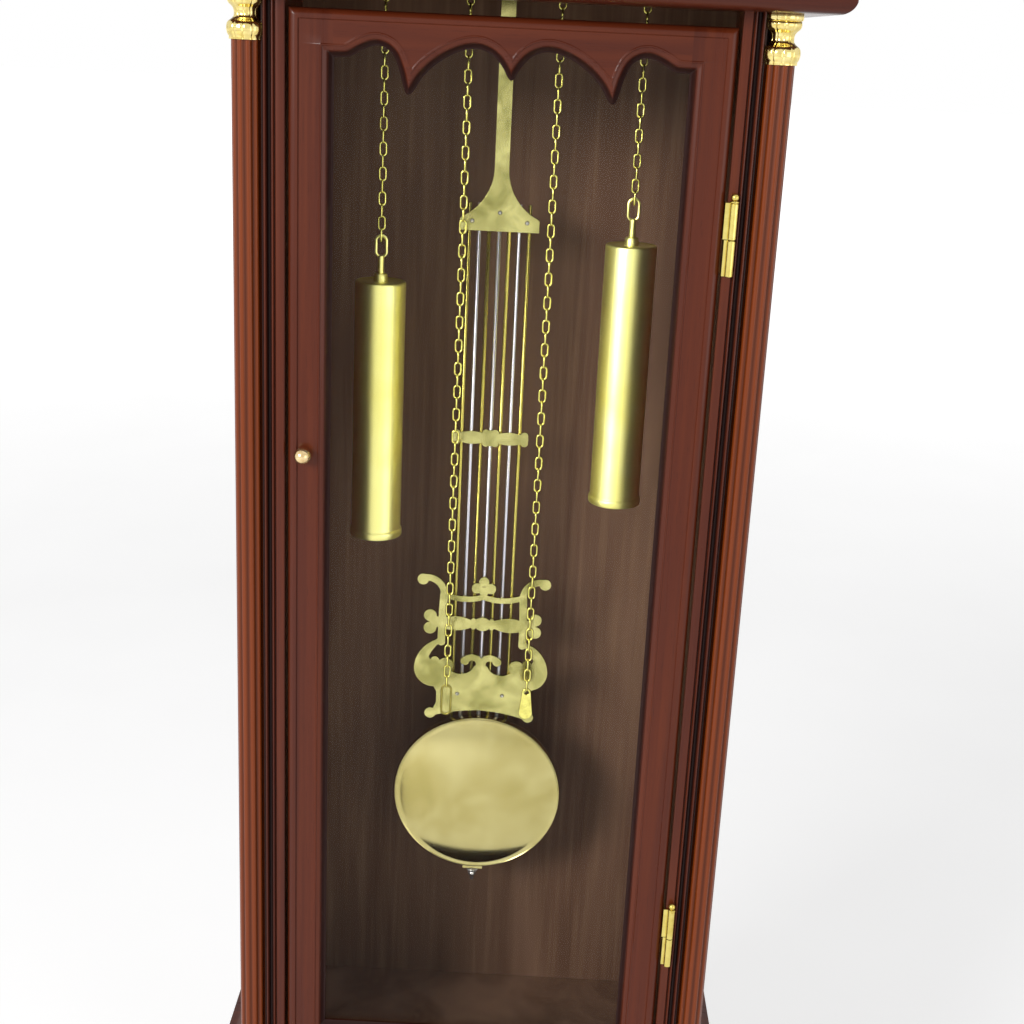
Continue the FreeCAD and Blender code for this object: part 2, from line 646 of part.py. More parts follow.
def hinges():
    """Two butt hinges whose barrels stand in front of the stile. The lower half of a barrel belongs
    to the case leaf, which carries the pin, and the upper half to the door leaf."""
    axis_x = float(door_half + s.axis_out)
    axis_y = float(face - s.barrel_radius - s.seat_gap)
    radius = float(s.barrel_radius)
    leaf = float(s.leaf)
    half = float(s.barrel_length) / 2
    play = float(s.knuckle_play)
    bore = float(s.pin_radius + s.pin_play)
    ball = float(s.ball_radius)
    front = float(face) - float(s.seat_gap) - leaf
    rear = float(face + s.leaf_depth)
    case_leaves, door_leaves, pins = [], [], []
    for middle in (float(door_low + s.hinge_low), float(door_high - s.hinge_high)):
        for low, leaves, inner, hole in ((middle - half, case_leaves, float(stile_inner) - leaf, None),
                                         (middle + play, door_leaves, float(door_half), bore)):
            high = half - play
            solid = Part.makeBox(leaf, rear - float(face), 2 * half, V(inner, float(face), middle - half))
            solid = solid.fuse(Part.makeBox(leaf, float(face) - front, high, V(inner, front, low)))
            solid = solid.fuse(Part.makeBox(axis_x - inner, leaf, high, V(inner, front, low)))
            solid = solid.fuse(Part.makeCylinder(radius, high, V(axis_x, axis_y, low)))
            solid = solid.cut(Part.makeCylinder(hole or float(s.pin_radius), high, V(axis_x, axis_y, low)))
            leaves.append(solid.removeSplitter())
        top = middle + half + play
        rod = Part.makeCylinder(float(s.pin_radius), 2 * half + play, V(axis_x, axis_y, middle - half))
        swell = Part.makeCone(ball * 0.6, ball, ball, V(axis_x, axis_y, top))
        tip = Part.makeCone(ball, ball * 0.4, ball, V(axis_x, axis_y, top + ball))
        pins.append(rod.fuse(swell).fuse(tip).removeSplitter())
    for name, solids in (("hinge_case_leaves", case_leaves + pins),
                         ("hinge_door_leaves", door_leaves)):
        feature = part("Part::Feature", name)
        feature.Shape = Part.makeCompound(solids)
        node(feature, name)


# Hood
def hood():
    ledge()
    right = board("hood_side", (hood_half - s.hood_board, mask_back, ledge_high),
                  (hood_half, board_front, roof_high))
    node(group("hood_sides", right, mirrored("hood_side_mirror", right)), "hood_sides")
    inner_arch = s.dial_arch + s.mask_edge
    outline = arched(hood_half, ledge_high, cornice_high, arch_z, cornice_arch + s.cornice_height)
    opening = arched(dial_half + s.mask_edge, hood_door_low + s.hood_rail - s.mask_edge, arch_z,
                     arch_z, inner_arch)
    node(padded("hood_front", "XZ_Plane", [outline, opening], mask_front, s.mask_board), "hood_front")
    roof_half = hood_half - s.hood_board
    spring = roof_high - arch_z
    outer_foot = root(roof_arch * roof_arch - spring * spring)
    inner_arch = roof_arch - s.roof_board
    low_spring = spring - s.roof_board
    inner_foot = root(inner_arch * inner_arch - low_spring * low_spring)
    low = roof_high - s.roof_board
    middle = Size(0, "0")
    section = [(roof_half, low), (roof_half, roof_high), (outer_foot, roof_high),
               (middle, arch_z + roof_arch, roof_arch), (-outer_foot, roof_high, roof_arch),
               (-roof_half, roof_high), (-roof_half, low), (-inner_foot, low),
               (middle, arch_z + inner_arch, -inner_arch), (inner_foot, low, -inner_arch)]
    node(padded("hood_roof", "XZ_Plane", [section], mask_back, board_front - mask_back), "hood_roof")
    cornice()
    low = ledge_high + s.cap_height
    length = cornice_low - s.cap_height - low
    column = reeded("hood_column", hood_column_x, hood_column_y, s.hood_column_radius, low, length)
    node(group("hood_columns", column, mirrored("hood_column_mirror", column)), "hood_columns")


def ledge():
    rises = [(s.ledge_under, 0 * s.ledge_height),
             (s.ledge_out, s.ledge_height * 0.32, s.ledge_out * 0.34),
             (s.ledge_out, s.ledge_height * 0.62),
             (s.ledge_top, s.ledge_height * 0.9, s.ledge_out * 0.26), (s.ledge_top, s.ledge_height)]
    opening = ((-side_outer, side_front, ledge_low - s.overrun),
               (side_outer, board_front + s.overrun, ledge_high + s.overrun))
    node(mitred("hood_ledge", rises, trunk_half, face, ledge_low, opening), "hood_ledge")


# Cornice section as shares of its reach and its height, with the bends as shares of its reach
CORNICE_SHARES = [(0.0, 0.0), (0.7, 0.55, -0.8), (0.82, 0.55), (1.0, 0.75), (1.0, 1.0)]


def cornice():
    """A moulding that runs along both shoulders and up over the arch."""
    out, high = s.cornice_out, s.cornice_height
    front = face - s.front_reach + out
    rises = [(out * reach, high * rise) + tuple(out * bend for bend in rest)
             for reach, rise, *rest in CORNICE_SHARES]
    ring_low = cornice_low - s.overrun
    opening = ((-hood_half, mask_front, ring_low),
               (hood_half, board_front + s.overrun, cornice_high + s.overrun))
    straight = mitred("cornice_straight", rises, hood_half, front, cornice_low, opening)
    depth = mask_front - front + out
    round_room = pin("cornice_round_room", cornice_arch, (0 * out, front - out - s.overrun, arch_z),
                     depth + 2 * s.overrun, Y_AXIS)
    shoulders = cut("cornice_shoulders", straight, round_room)
    section = [(front - out * reach, cornice_arch + high * rise) + tuple(-1 * out * bend for bend in rest)
               for reach, rise, *rest in CORNICE_SHARES]
    section += [(mask_front, cornice_arch + high), (mask_front, cornice_arch)]
    ring = turned("cornice_ring", section, 0 * out, 0 * out, arch_z, level=True)
    reach = cornice_arch + high + s.overrun
    below = board("cornice_below", (-reach, front - out - s.overrun, arch_z - reach),
                  (reach, mask_front + s.overrun, cornice_low))
    arch = cut("cornice_arch", ring, below)
    node(fuse("hood_cornice", shoulders, arch), "hood_cornice")


def hood_door():
    front = hood_door_back - s.hood_door_thickness
    half = door_frame_half
    outline = arched(half, hood_door_low, arch_z + s.hood_rail, arch_z, door_arch)
    sight_low = hood_door_low + s.hood_rail
    sight = arched(dial_half, sight_low, arch_z, arch_z, s.dial_arch)
    frame = padded("hood_door_length", "XZ_Plane", [outline, sight], front, s.hood_door_thickness)
    room = s.hood_rebate
    wider = arched(dial_half + room, sight_low - room, arch_z + room, arch_z, s.dial_arch + room)
    rebate_front = hood_door_back - s.hood_rebate_depth
    rebate = padded("hood_door_rebate", "XZ_Plane", [wider], rebate_front,
                    s.hood_rebate_depth + s.overrun)
    pin_x = half - s.hood_pin_inset
    pin_y = front + s.hood_pin_inset
    top = arch_z + s.hood_rail
    bore = s.hood_pin_radius + s.arbor_play
    depth = s.hood_pin_length + s.arbor_play
    bores = [pin("hood_bore_low", bore, (pin_x, pin_y, hood_door_low - s.overrun),
                 depth + s.overrun, Z_AXIS),
             pin("hood_bore_high", bore, (pin_x, pin_y, top - depth), depth + s.overrun, Z_AXIS)]
    node(cut("hood_door_frame", frame, rebate, *bores), "hood_door_frame")
    pins = [pin("hood_pin_low", s.hood_pin_radius, (pin_x, pin_y, ledge_high),
                s.door_gap + s.hood_pin_length, Z_AXIS),
            pin("hood_pin_high", s.hood_pin_radius, (pin_x, pin_y, top - s.hood_pin_length),
                s.cornice_gap + s.hood_pin_length, Z_AXIS)]
    node(group("hood_door_pins", *pins), "hood_door_pins")
    tight = s.hood_rebate - s.glass_play
    glass = arched(dial_half + tight, sight_low - tight, arch_z + tight, arch_z, s.dial_arch + tight)
    node(padded("hood_door_glass", "XZ_Plane", [glass], rebate_front, s.glass_thickness),
         "hood_door_glass")
    length = s.hood_knob_length
    size = s.hood_knob_radius
    knob = [(front, Size(0, "0")), (front, size * 0.5), (front - length * 0.35, size * 0.5),
            (front - length * 0.65, size), (front - length, size * 0.6), (front - length, Size(0, "0"))]
    node(turned("hood_door_knob", knob[::-1], -(half - s.hood_rail / 2), 0 * front,
                dial_z, level=True), "hood_door_knob")


# Dial and hands
def dial():
    play = s.seat_gap
    half = dial_half + s.dial_over
    low = dial_z - half
    plate = padded("dial_sheet", "XZ_Plane",
                   [arched(half, low, arch_z + s.dial_over, arch_z, s.dial_arch + s.dial_over)],
                   mask_back + play, s.dial_plate)
    hole = pin("dial_hole", s.dial_hole, (0 * half, mask_back - s.overrun, dial_z),
               s.dial_plate + 2 * s.overrun)
    node(cut("dial_plate", plate, hole), "dial_plate")
    ring_y = mask_back + play - s.chapter_thickness
    ring = pin("chapter_disc", s.chapter_outer, (0 * half, ring_y, dial_z), s.chapter_thickness)
    gap = pin("chapter_gap", s.chapter_inner, (0 * half, ring_y - s.overrun, dial_z),
              s.chapter_thickness + 2 * s.overrun)
    node(cut("chapter_ring", ring, gap), "chapter_ring")
    hour_y = ring_y - s.hand_gap - s.hand_thickness
    minute_y = hour_y - s.hand_gap - s.hand_thickness
    plate_end = face + s.plate_front
    bore = s.cannon_radius + s.arbor_play
    hand("hour_hand", s.hour_length, hour_y, s.pipe_radius, bore, plate_end - s.arbor_play, 0.8)
    hand("minute_hand", s.minute_length, minute_y, s.cannon_radius, None,
         plate_end + s.plate_thickness, 0.6)


def strap(points, width):
    """A flat band with round ends along a path of places in the front plane."""
    if len(points) == 3:
        path = Part.Wire([Part.Arc(*points).toShape()])
    else:
        path = Part.makePolygon(points)
    return path.makeOffset2D(float(width) / 2, 0, True, False, False)


def disc(x, z, radius):
    return Part.Face(Part.Wire([Part.makeCircle(float(radius), V(float(x), 0, float(z)), Y_AXIS)]))


def oval(x, low, high, radius):
    """Faces that make an upright oval round two centres."""
    side = float(radius)
    corners = [V(float(x) + way * side, 0, float(z)) for way, z in
               ((-1, low), (1, low), (1, high), (-1, high))]
    return [Part.Face(Part.makePolygon(corners + corners[:1])), disc(x, low, radius),
            disc(x, high, radius)]


def plate_of(faces, front, thickness):
    """One flat plate from overlapping faces in the front plane."""
    solid = None
    for each in faces:
        slab = each.extrude(V(0, float(thickness), 0))
        solid = slab if solid is None else solid.fuse(slab)
    solid = solid.removeSplitter()
    solid.translate(V(0, float(front), 0))
    return solid


# Outline of a spade hand as shares of its length: how far out, and how wide beside its bar
HAND_SHARES = [(0.0, 0.0), (0.62, -0.2), (0.7, 1.6), (0.78, 0.4), (1.0, -0.5)]


def hand(name, length, front, pipe, bore, plate_end, spade):
    """A spade hand with the pipe that carries it, pointing up."""
    bar = float(s.hand_bar) / 2
    base_z = float(dial_z)
    reach = float(length)
    edge = [V(bar * (1 + wide * spade * 2), 0, base_z + reach * along) for along, wide in HAND_SHARES]
    back_edge = [V(-each.x, 0, each.z) for each in reversed(edge)]
    pointer = Part.Face(Part.makePolygon(edge + back_edge + [edge[0]]))
    solid = plate_of([pointer, disc(0, dial_z, s.hand_hub)], front, s.hand_thickness)
    depth = float(plate_end - front)
    solid = solid.fuse(Part.makeCylinder(float(pipe), depth, V(0, float(front), base_z), Y_AXIS))
    if bore:
        solid = solid.cut(Part.makeCylinder(float(bore), depth * 2,
                                            V(0, float(front) - depth / 2, base_z), Y_AXIS))
    feature = part("Part::Feature", name)
    feature.Shape = solid.removeSplitter()
    node(feature, name)


# Movement
def movement():
    front = face + s.plate_front
    rear = face + s.plate_back
    low = seat_top
    high = dial_z + s.plate_above
    half = s.plate_half_width
    corner = s.pillar_inset / 2
    outline = [(-half, low), (half, low), (half, high - corner), (half - corner, high),
               (corner - half, high), (-half, high - corner)]
    pivot = s.pivot_radius + s.arbor_play
    holes = [(s.chain_spread, wheel_z, pivot), (-s.chain_spread, wheel_z, pivot),
             (swing_x, pivot_z - s.escape_drop, pivot), (swing_x, pivot_z, pivot)]
    plates = []
    for name, start, extra in (("front_plate", front, s.cannon_radius + s.arbor_play),
                               ("back_plate", rear, None)):
        sheet_metal = padded(name, "XZ_Plane", [outline], start, s.plate_thickness)
        drilled = holes + ([(0 * half, dial_z, extra)] if extra else [])
        tools = [pin("%s_hole_%d" % (name, index), radius, (x, start - s.overrun, z),
                     s.plate_thickness + 2 * s.overrun)
                 for index, (x, z, radius) in enumerate(drilled)]
        plates.append(cut(name + "_drilled", sheet_metal, *tools))
    pillars = []
    for x in (s.pillar_inset - half, half - s.pillar_inset):
        for z in (low + s.pillar_inset, high - s.pillar_inset):
            pillars.append(pin("pillar", s.pillar_radius, (x, front + s.plate_thickness, z),
                               rear - front - s.plate_thickness))
    node(group("movement_frame", *plates, *pillars), "movement_frame")
    seat()
    for name, x in (("left_chain_wheel", -s.chain_spread), ("right_chain_wheel", s.chain_spread)):
        chain_wheel(name, x, front, rear)
    escapement(front, rear)
    block_y = board_front - s.gong_block
    gong_x = hood_half - s.hood_board - s.gong_inset
    gong_z = dial_z + s.plate_above + s.gong_block * 2
    spread = s.gong_pitch * GONGS / 2
    block = board("gong_block", (gong_x - spread, block_y, gong_z),
                  (gong_x + spread, board_front, gong_z + s.gong_block))
    rods = []
    for index in range(GONGS):
        x = gong_x - spread + s.gong_pitch * (index + 0.5)
        length = s.gong_length * (1 - 0.07 * index)
        rods.append(pin("gong_rod", s.gong_radius, (x, block_y + s.gong_block / 2, gong_z - length),
                        length, Z_AXIS))
    node(group("gong_rods", block, *rods), "gong_rods")


def seat():
    """The board that carries the movement, with a slot for each chain."""
    middle = chain_y
    whole = board("seat_whole", (-side_outer, middle - s.seat_depth / 2, cheek_top),
                  (side_outer, middle + s.seat_depth / 2, seat_top))
    slots = []
    room = s.link_width
    for x in (-s.chain_spread, s.chain_spread):
        for way in (-1, 1):
            at = x + way * s.chain_wheel_radius
            slots.append(board("chain_slot", (at - room, middle - room, cheek_top - s.overrun),
                               (at + room, middle + room, seat_top + s.overrun)))
    reach = s.spring_width
    slots.append(board("pendulum_slot", (swing_x - 2 * s.stem_width, plate_y - reach,
                                         cheek_top - s.overrun),
                       (swing_x + 2 * s.stem_width, middle + s.seat_depth, seat_top + s.overrun)))
    node(cut("seat_board", whole, *slots), "seat_board")


def chain_wheel(name, x, front, rear):
    """An arbor with the wheel that the chain turns, a groove with a flange on each side."""
    middle = chain_y
    half = s.chain_wheel_width / 2
    valley = s.chain_wheel_radius - s.link_width
    rim = s.chain_wheel_radius + s.chain_flange
    corners = [(front, Size(0, "0")), (front, s.pivot_radius),
               (front + s.plate_thickness + s.arbor_play, s.pivot_radius),
               (front + s.plate_thickness + s.arbor_play, s.arbor_radius),
               (middle - half - s.chain_flange, s.arbor_radius),
               (middle - half - s.chain_flange, rim), (middle - half, rim), (middle - half, valley),
               (middle + half, valley), (middle + half, rim), (middle + half + s.chain_flange, rim),
               (middle + half + s.chain_flange, s.arbor_radius),
               (rear - s.arbor_play, s.arbor_radius), (rear - s.arbor_play, s.pivot_radius),
               (rear + s.plate_thickness, s.pivot_radius), (rear + s.plate_thickness, Size(0, "0"))]
    node(turned(name, corners[::-1], x, 0 * x, wheel_z, level=True), name)


def escapement(front, rear):
    """Escape wheel, and the pallets on their arbor with the crutch behind the back plate."""
    wheel_height = float(pivot_z - s.escape_drop)
    wheel_y = float(front + s.escape_setback)
    x = float(swing_x)
    radius = float(s.escape_radius)
    points = []
    for index in range(ESCAPE_TEETH):
        for share, reach in ((0.0, radius), (0.35, radius - float(s.escape_tooth))):
            angle = 2 * math.pi * (index + share) / ESCAPE_TEETH
            points.append(V(x + reach * math.cos(angle), 0, wheel_height + reach * math.sin(angle)))
    wheel = Part.Face(Part.makePolygon(points + points[:1]))
    solid = plate_of([wheel], wheel_y, s.escape_thickness)
    start = float(front)
    length = float(rear + s.plate_thickness - front)
    solid = solid.fuse(Part.makeCylinder(float(s.pivot_radius), length, V(x, start, wheel_height), Y_AXIS))
    feature = part("Part::Feature", "escape_wheel")
    feature.Shape = solid
    node(feature, "escape_wheel")
    axis = float(pivot_z)
    reach = radius + float(s.pallet_clearance)
    tip = reach / math.sqrt(2)
    bar = float(s.crutch_bar)
    arms = [strap([V(x - tip, 0, wheel_height + tip + bar / 2), V(x, 0, axis),
                   V(x + tip, 0, wheel_height + tip + bar / 2)], bar),
            disc(x, axis, bar * 1.3)]
    solid = plate_of(arms, wheel_y, s.escape_thickness)
    crutch_y = float(rear + s.plate_thickness + s.arbor_play)
    solid = solid.fuse(Part.makeCylinder(float(s.pivot_radius), crutch_y + bar - start,
                                         V(x, start, axis), Y_AXIS))
    drop = float(s.crutch_length)
    solid = solid.fuse(Part.makeBox(bar, bar, drop, V(x - bar / 2, crutch_y, axis - drop)))
    half = float(s.stem_width) / 2 + float(s.seat_gap)
    reach_back = float(plate_y + s.stem_thickness) - crutch_y
    solid = solid.fuse(Part.makeBox(2 * (half + bar), bar, bar, V(x - half - bar, crutch_y, axis - drop)))
    for side in (x - half - bar, x + half):
        solid = solid.fuse(Part.makeBox(bar, reach_back, bar, V(side, crutch_y, axis - drop)))
    feature = part("Part::Feature", "pallets_and_crutch")
    feature.Shape = solid.removeSplitter()
    node(feature, "pallets_and_crutch")
    cock_front = rear + s.plate_thickness
    cock = board("cock_block", (swing_x - s.cock_width / 2, cock_front, pivot_z + s.cock_gap),
                 (swing_x + s.cock_width / 2, plate_y + s.spring_width, pivot_z + s.cock_height))
    room = pin("cock_room", s.pivot_radius + s.arbor_play, (swing_x, cock_front - s.overrun, pivot_z),
               s.crutch_bar + 2 * s.overrun)
    node(cut("suspension_cock", cock, room), "suspension_cock")


# Chains and weights
def chain_link():
    """One link, its foot at the origin, lying in the XZ plane: a rounded ring of square wire."""
    half = float(s.link_width) / 2
    long = float(s.link_length)
    wire = float(s.link_wire)
    outer = [V(half, 0, 0), V(half, 0, long), V(-half, 0, long), V(-half, 0, 0)]
    inner = [V(half - wire, 0, wire), V(half - wire, 0, long - wire), V(wire - half, 0, long - wire),
             V(wire - half, 0, wire)]
    ring = Part.Face([Part.makePolygon(outer + outer[:1]), Part.makePolygon(inner + inner[:1])])
    ring.validate()
    link = ring.extrude(V(0, wire, 0))
    link.translate(V(0, -wire / 2, 0))
    return link


def strand(name, x, links):
    """A hanging chain strand whose top link meets its wheel. Every other link is turned a quarter."""
    one = chain_link()
    top = float(wheel_z)
    pitch = float(s.link_pitch)
    solids = []
    for index in range(links):
        link = one.copy()
        if index % 2 == 0:
            link.rotate(V(0, 0, 0), Z_AXIS, 90)
        link.translate(V(float(x), float(chain_y), top - float(s.link_length) - index * pitch))
        solids.append(link)
    feature = part("Part::Feature", name)
    feature.Shape = Part.makeCompound(solids)
    node(feature, name)
    return wheel_z - s.link_length - (links - 1) * s.link_pitch


def weights():
    radius = s.chain_wheel_radius
    for side, way, links in (("left", -1, LEFT_LINKS), ("right", 1, RIGHT_LINKS)):
        x = way * (s.chain_spread + radius)
        hook_link = strand("%s_chain_weight_side" % side, x, links)
        free_x = way * (s.chain_spread - radius)
        free_link = strand("%s_chain_free_side" % side, free_x, FREE_LINKS)
        top = hook_link + s.link_wire + s.link_play + s.eye_wire - s.hook_height
        weight("%s_weight" % side, x, top)
        chain_end("%s_chain_end" % side, free_x, free_link + s.link_wire + s.link_play, way)


def weight(name, x, top):
    """A turned brass weight, and its hook as a second solid."""
    low = top - s.weight_length
    body_low = low + s.tip_length
    rim, body = s.weight_rim, s.weight_radius
    zero = Size(0, "0")
    corners = [(zero, low), (s.tip_radius, low), (s.tip_radius, body_low), (rim, body_low),
               (rim, body_low + s.rim_height), (body, body_low + s.rim_height + s.rim_step),
               (body, top - s.rim_height - s.rim_step), (rim, top - s.rim_height), (rim, top),
               (zero, top)]
    shell = turned(name + "_shell", corners, x, chain_y, zero)
    place = V(float(x), float(chain_y), float(top))
    nut = Part.makeCylinder(float(s.weight_nut), float(s.weight_nut), place)
    rod = Part.makeCylinder(float(s.hook_rod), float(s.hook_height - s.eye_height + s.eye_wire / 2), place)
    eye_front = chain_y - s.eye_wire / 2
    low_centre = top + s.hook_height - s.eye_height + s.eye_width / 2
    high_centre = top + s.hook_height - s.eye_width / 2
    eye = plate_of(oval(x, low_centre, high_centre, s.eye_width / 2), eye_front, s.eye_wire)
    eye = eye.cut(plate_of(oval(x, low_centre, high_centre, s.eye_width / 2 - s.eye_wire),
                           eye_front - s.overrun, s.eye_wire + 2 * s.overrun))
    hook = part("Part::Feature", name + "_hook")
    hook.Shape = nut.fuse(rod).fuse(eye).removeSplitter()
    node(group(name, shell, hook), name)


def chain_end(name, x, top, way):
    """What ends a free chain: a long ring on the left, a flat pear-shaped tag on the right."""
    wire = float(s.end_wire)
    long = float(s.end_length)
    wide = float(s.end_width if way < 0 else s.tag_width) / 2
    narrow = wide if way < 0 else float(s.link_width) * 0.6
    z = float(top) + wire
    x = float(x)
    low_centre = z - long + wide
    high_centre = z - narrow
    hull = [V(x - narrow, 0, high_centre), V(x + narrow, 0, high_centre), V(x + wide, 0, low_centre),
            V(x - wide, 0, low_centre)]
    flat = Part.Face(Part.makePolygon(hull + hull[:1]))
    solid = plate_of([flat, disc(x, low_centre, wide), disc(x, high_centre, narrow)],
                     chain_y - s.end_wire / 2, s.end_wire)
    holes = [disc(x, high_centre, narrow - wire)]
    if way < 0:
        slot = [V(x - narrow + wire, 0, high_centre), V(x + narrow - wire, 0, high_centre),
                V(x + wide - wire, 0, low_centre), V(x - wide + wire, 0, low_centre)]
        holes += [Part.Face(Part.makePolygon(slot + slot[:1])), disc(x, low_centre, wide - wire)]
    solid = solid.cut(plate_of(holes, chain_y - s.end_wire, 2 * s.end_wire))
    feature = part("Part::Feature", name)
    feature.Shape = solid.removeSplitter()
    node(feature, name)


# Pendulum
def pendulum():
    front = plate_y - s.stem_thickness / 2
    spade_low = bob_z + s.spade_above_bob
    band_top = spade_low + s.spade_band
    neck = band_top + s.spade_flare
    narrow = s.stem_width / 2
    wide = s.spade_width / 2
    corner = s.spade_band / 8
    top = pivot_z - s.spring_length
    x = swing_x
    outline = [(x - wide, spade_low), (x + wide, spade_low), (x + wide, band_top - corner),
               (x + wide - corner, band_top), (x + narrow, neck, -s.spade_arc), (x + narrow, top),
               (x - narrow, top), (x - narrow, neck), (x - wide + corner, band_top, -s.spade_arc),
               (x - wide, band_top - corner)]
    stem = padded("stem_plate", "XZ_Plane", [outline], front, s.stem_thickness)
    spring = board("suspension_spring",
                   (x - s.spring_width / 2, plate_y - s.spring_thickness / 2, top),
                   (x + s.spring_width / 2, plate_y + s.spring_thickness / 2, pivot_z))
    node(fuse("pendulum_stem", stem, spring), "pendulum_stem")
    rod_y = plate_y + s.lyre_plate / 2 + s.rod_radius
    rods = []
    for index in range(RODS):
        place = x + (index - (RODS - 1) / 2) * s.rod_pitch
        middle = index == RODS // 2
        low = bob_z - s.bob_radius - s.nut_height - s.stud_below if middle else bob_z + s.rod_end
        rods.append(pin("rod", s.rod_radius, (place, rod_y, low), band_top + s.spade_band - low, Z_AXIS))
    node(group("pendulum_rods", *rods), "pendulum_rods")
    clip()
    lyre()
    bob(rod_y)


def from_share(share, z_low, wide, high):
    """A place in the front plane from shares of a half width and a height."""
    return V(float(swing_x) + share[0] * float(wide), 0, float(z_low) + share[1] * float(high))


def both_sides(shares, make):
    """The faces that make gives for a list of shares and for its mirror image."""
    return [make(shares), make([(-out, up) for out, up in shares])]


# Middle clip of the rods, as shares of its half width and height
CLIP_BAND_SHARES = [(0.9, 0.32), (0.55, 0.12), (0.12, 0.3), (0.12, 0.7), (0.55, 0.88), (0.9, 0.68)]
CLIP_DISC_SHARES = [(0.0, 0.5, 0.22), (0.12, 0.8, 0.1), (0.12, 0.2, 0.1), (0.9, 0.72, 0.1),
                    (0.9, 0.28, 0.1), (0.93, 0.5, 0.08)]


def clip():
    low = bob_z + s.clip_above_bob
    wide, high = s.clip_half_width, s.clip_height

    def band(shares):
        a, b, c, d, e, f = [from_share(share, low, wide, high) for share in shares]
        return Part.Face(Part.Wire([Part.Arc(a, b, c).toShape(), Part.LineSegment(c, d).toShape(),
                                    Part.Arc(d, e, f).toShape(), Part.LineSegment(f, a).toShape()]))

    faces = both_sides(CLIP_BAND_SHARES, band)
    for out, up, size in CLIP_DISC_SHARES:
        for way in ((-1, 1) if out else (1,)):
            middle = from_share((way * out, up), low, wide, high)
            faces.append(disc(middle.x, middle.z, size * float(wide)))
    feature = part("Part::Feature", "pendulum_clip")
    feature.Shape = plate_of(faces, plate_y + s.lyre_plate / 2 - s.clip_plate, s.clip_plate)
    node(feature, "pendulum_clip")


# Lyre outline as shares of its half width and its height, measured from its feet.
# Plate: straight and bent edges from the foot up to the middle; None marks a straight edge.
PLATE_SHARES = [((0.69, 0.02), (0.35, 0.056)), ((0.7, 0.07), None), ((0.655, 0.116), None),
                ((0.655, 0.19), None),
                ((0.7, 0.225), None), ((1.0, 0.37), (0.93, 0.27)), ((0.7, 0.55), (0.91, 0.475)),
                ((0.61, 0.58), None), ((0.54, 0.56), None), ((0.785, 0.435), (0.7, 0.5)),
                ((0.76, 0.408), None), ((0.625, 0.41), (0.69, 0.437)), ((0.45, 0.345), (0.53, 0.43)),
                ((0.1, 0.38), (0.29, 0.322)), ((0.0, 0.4), None)]
VOLUTE_SHARES = [(0.06, 0.36), (0.1, 0.44), (0.235, 0.41)]
STRAP_SHARES = [(0.605, 0.54), (0.6, 0.72), (0.585, 0.87)]
ARM_SHARES = [(0.585, 0.86), (0.67, 0.95), (0.9, 0.975)]
BAR_SHARES = [(0.6, 0.872), (0.29, 0.842), (0.0, 0.862)]
BAND_SHARES = [((0.1, 0.65), (0.06, 0.634)), ((0.17, 0.65), (0.135, 0.636)),
               ((0.6, 0.64), (0.38, 0.625)), ((0.6, 0.705), None), ((0.17, 0.7), (0.38, 0.722)),
               ((0.1, 0.7), (0.135, 0.715)), ((0.0, 0.722), (0.06, 0.716))]
LYRE_DISC_SHARES = [(0.9, 0.965, 0.085), (0.0, 0.965, 0.075), (0.1, 0.92, 0.08), (0.0, 0.9, 0.07),
                    (0.78, 0.72, 0.095), (0.78, 0.635, 0.095), (0.7, 0.678, 0.09),
                    (0.24, 0.415, 0.065), (0.74, 0.037, 0.085)]


def lyre():
    low = bob_z + s.lyre_above_bob
    wide, high = s.lyre_half_width, s.lyre_height

    def place(share):
        return from_share(share, low, wide, high)

    def edges(steps, here):
        run = []
        for end, through in steps:
            there = place(end)
            run.append(Part.Arc(here, place(through), there).toShape() if through
                       else Part.LineSegment(here, there).toShape())
            here = there
        return run

    def half_face(steps, start):
        run = edges(steps, place(start))
        run.append(Part.LineSegment(place(steps[-1][0]), place(start)).toShape())
        return Part.Face(Part.Wire(run))

    middle = X_AXIS
    axis_place = V(float(swing_x), 0, 0)
    faces = []
    for steps, start in ((PLATE_SHARES, (0.0, 0.07)), (BAND_SHARES, (0.0, 0.63))):
        face_half = half_face(steps, start)
        faces += [face_half, face_half.mirror(axis_place, middle)]
    for shares, width in ((VOLUTE_SHARES, 0.1), (STRAP_SHARES, 0.115), (ARM_SHARES, 0.1),
                          (BAR_SHARES, 0.085)):
        faces += both_sides(shares, lambda each: strap([place(share) for share in each],
                                                       width * float(wide)))
    for out, up, size in LYRE_DISC_SHARES:
        for way in ((-1, 1) if out else (1,)):
            centre = place((way * out, up))
            faces.append(disc(centre.x, centre.z, size * float(wide)))
    feature = part("Part::Feature", "pendulum_lyre")
    feature.Shape = plate_of(faces, plate_y - s.lyre_plate / 2, s.lyre_plate)
    node(feature, "pendulum_lyre")


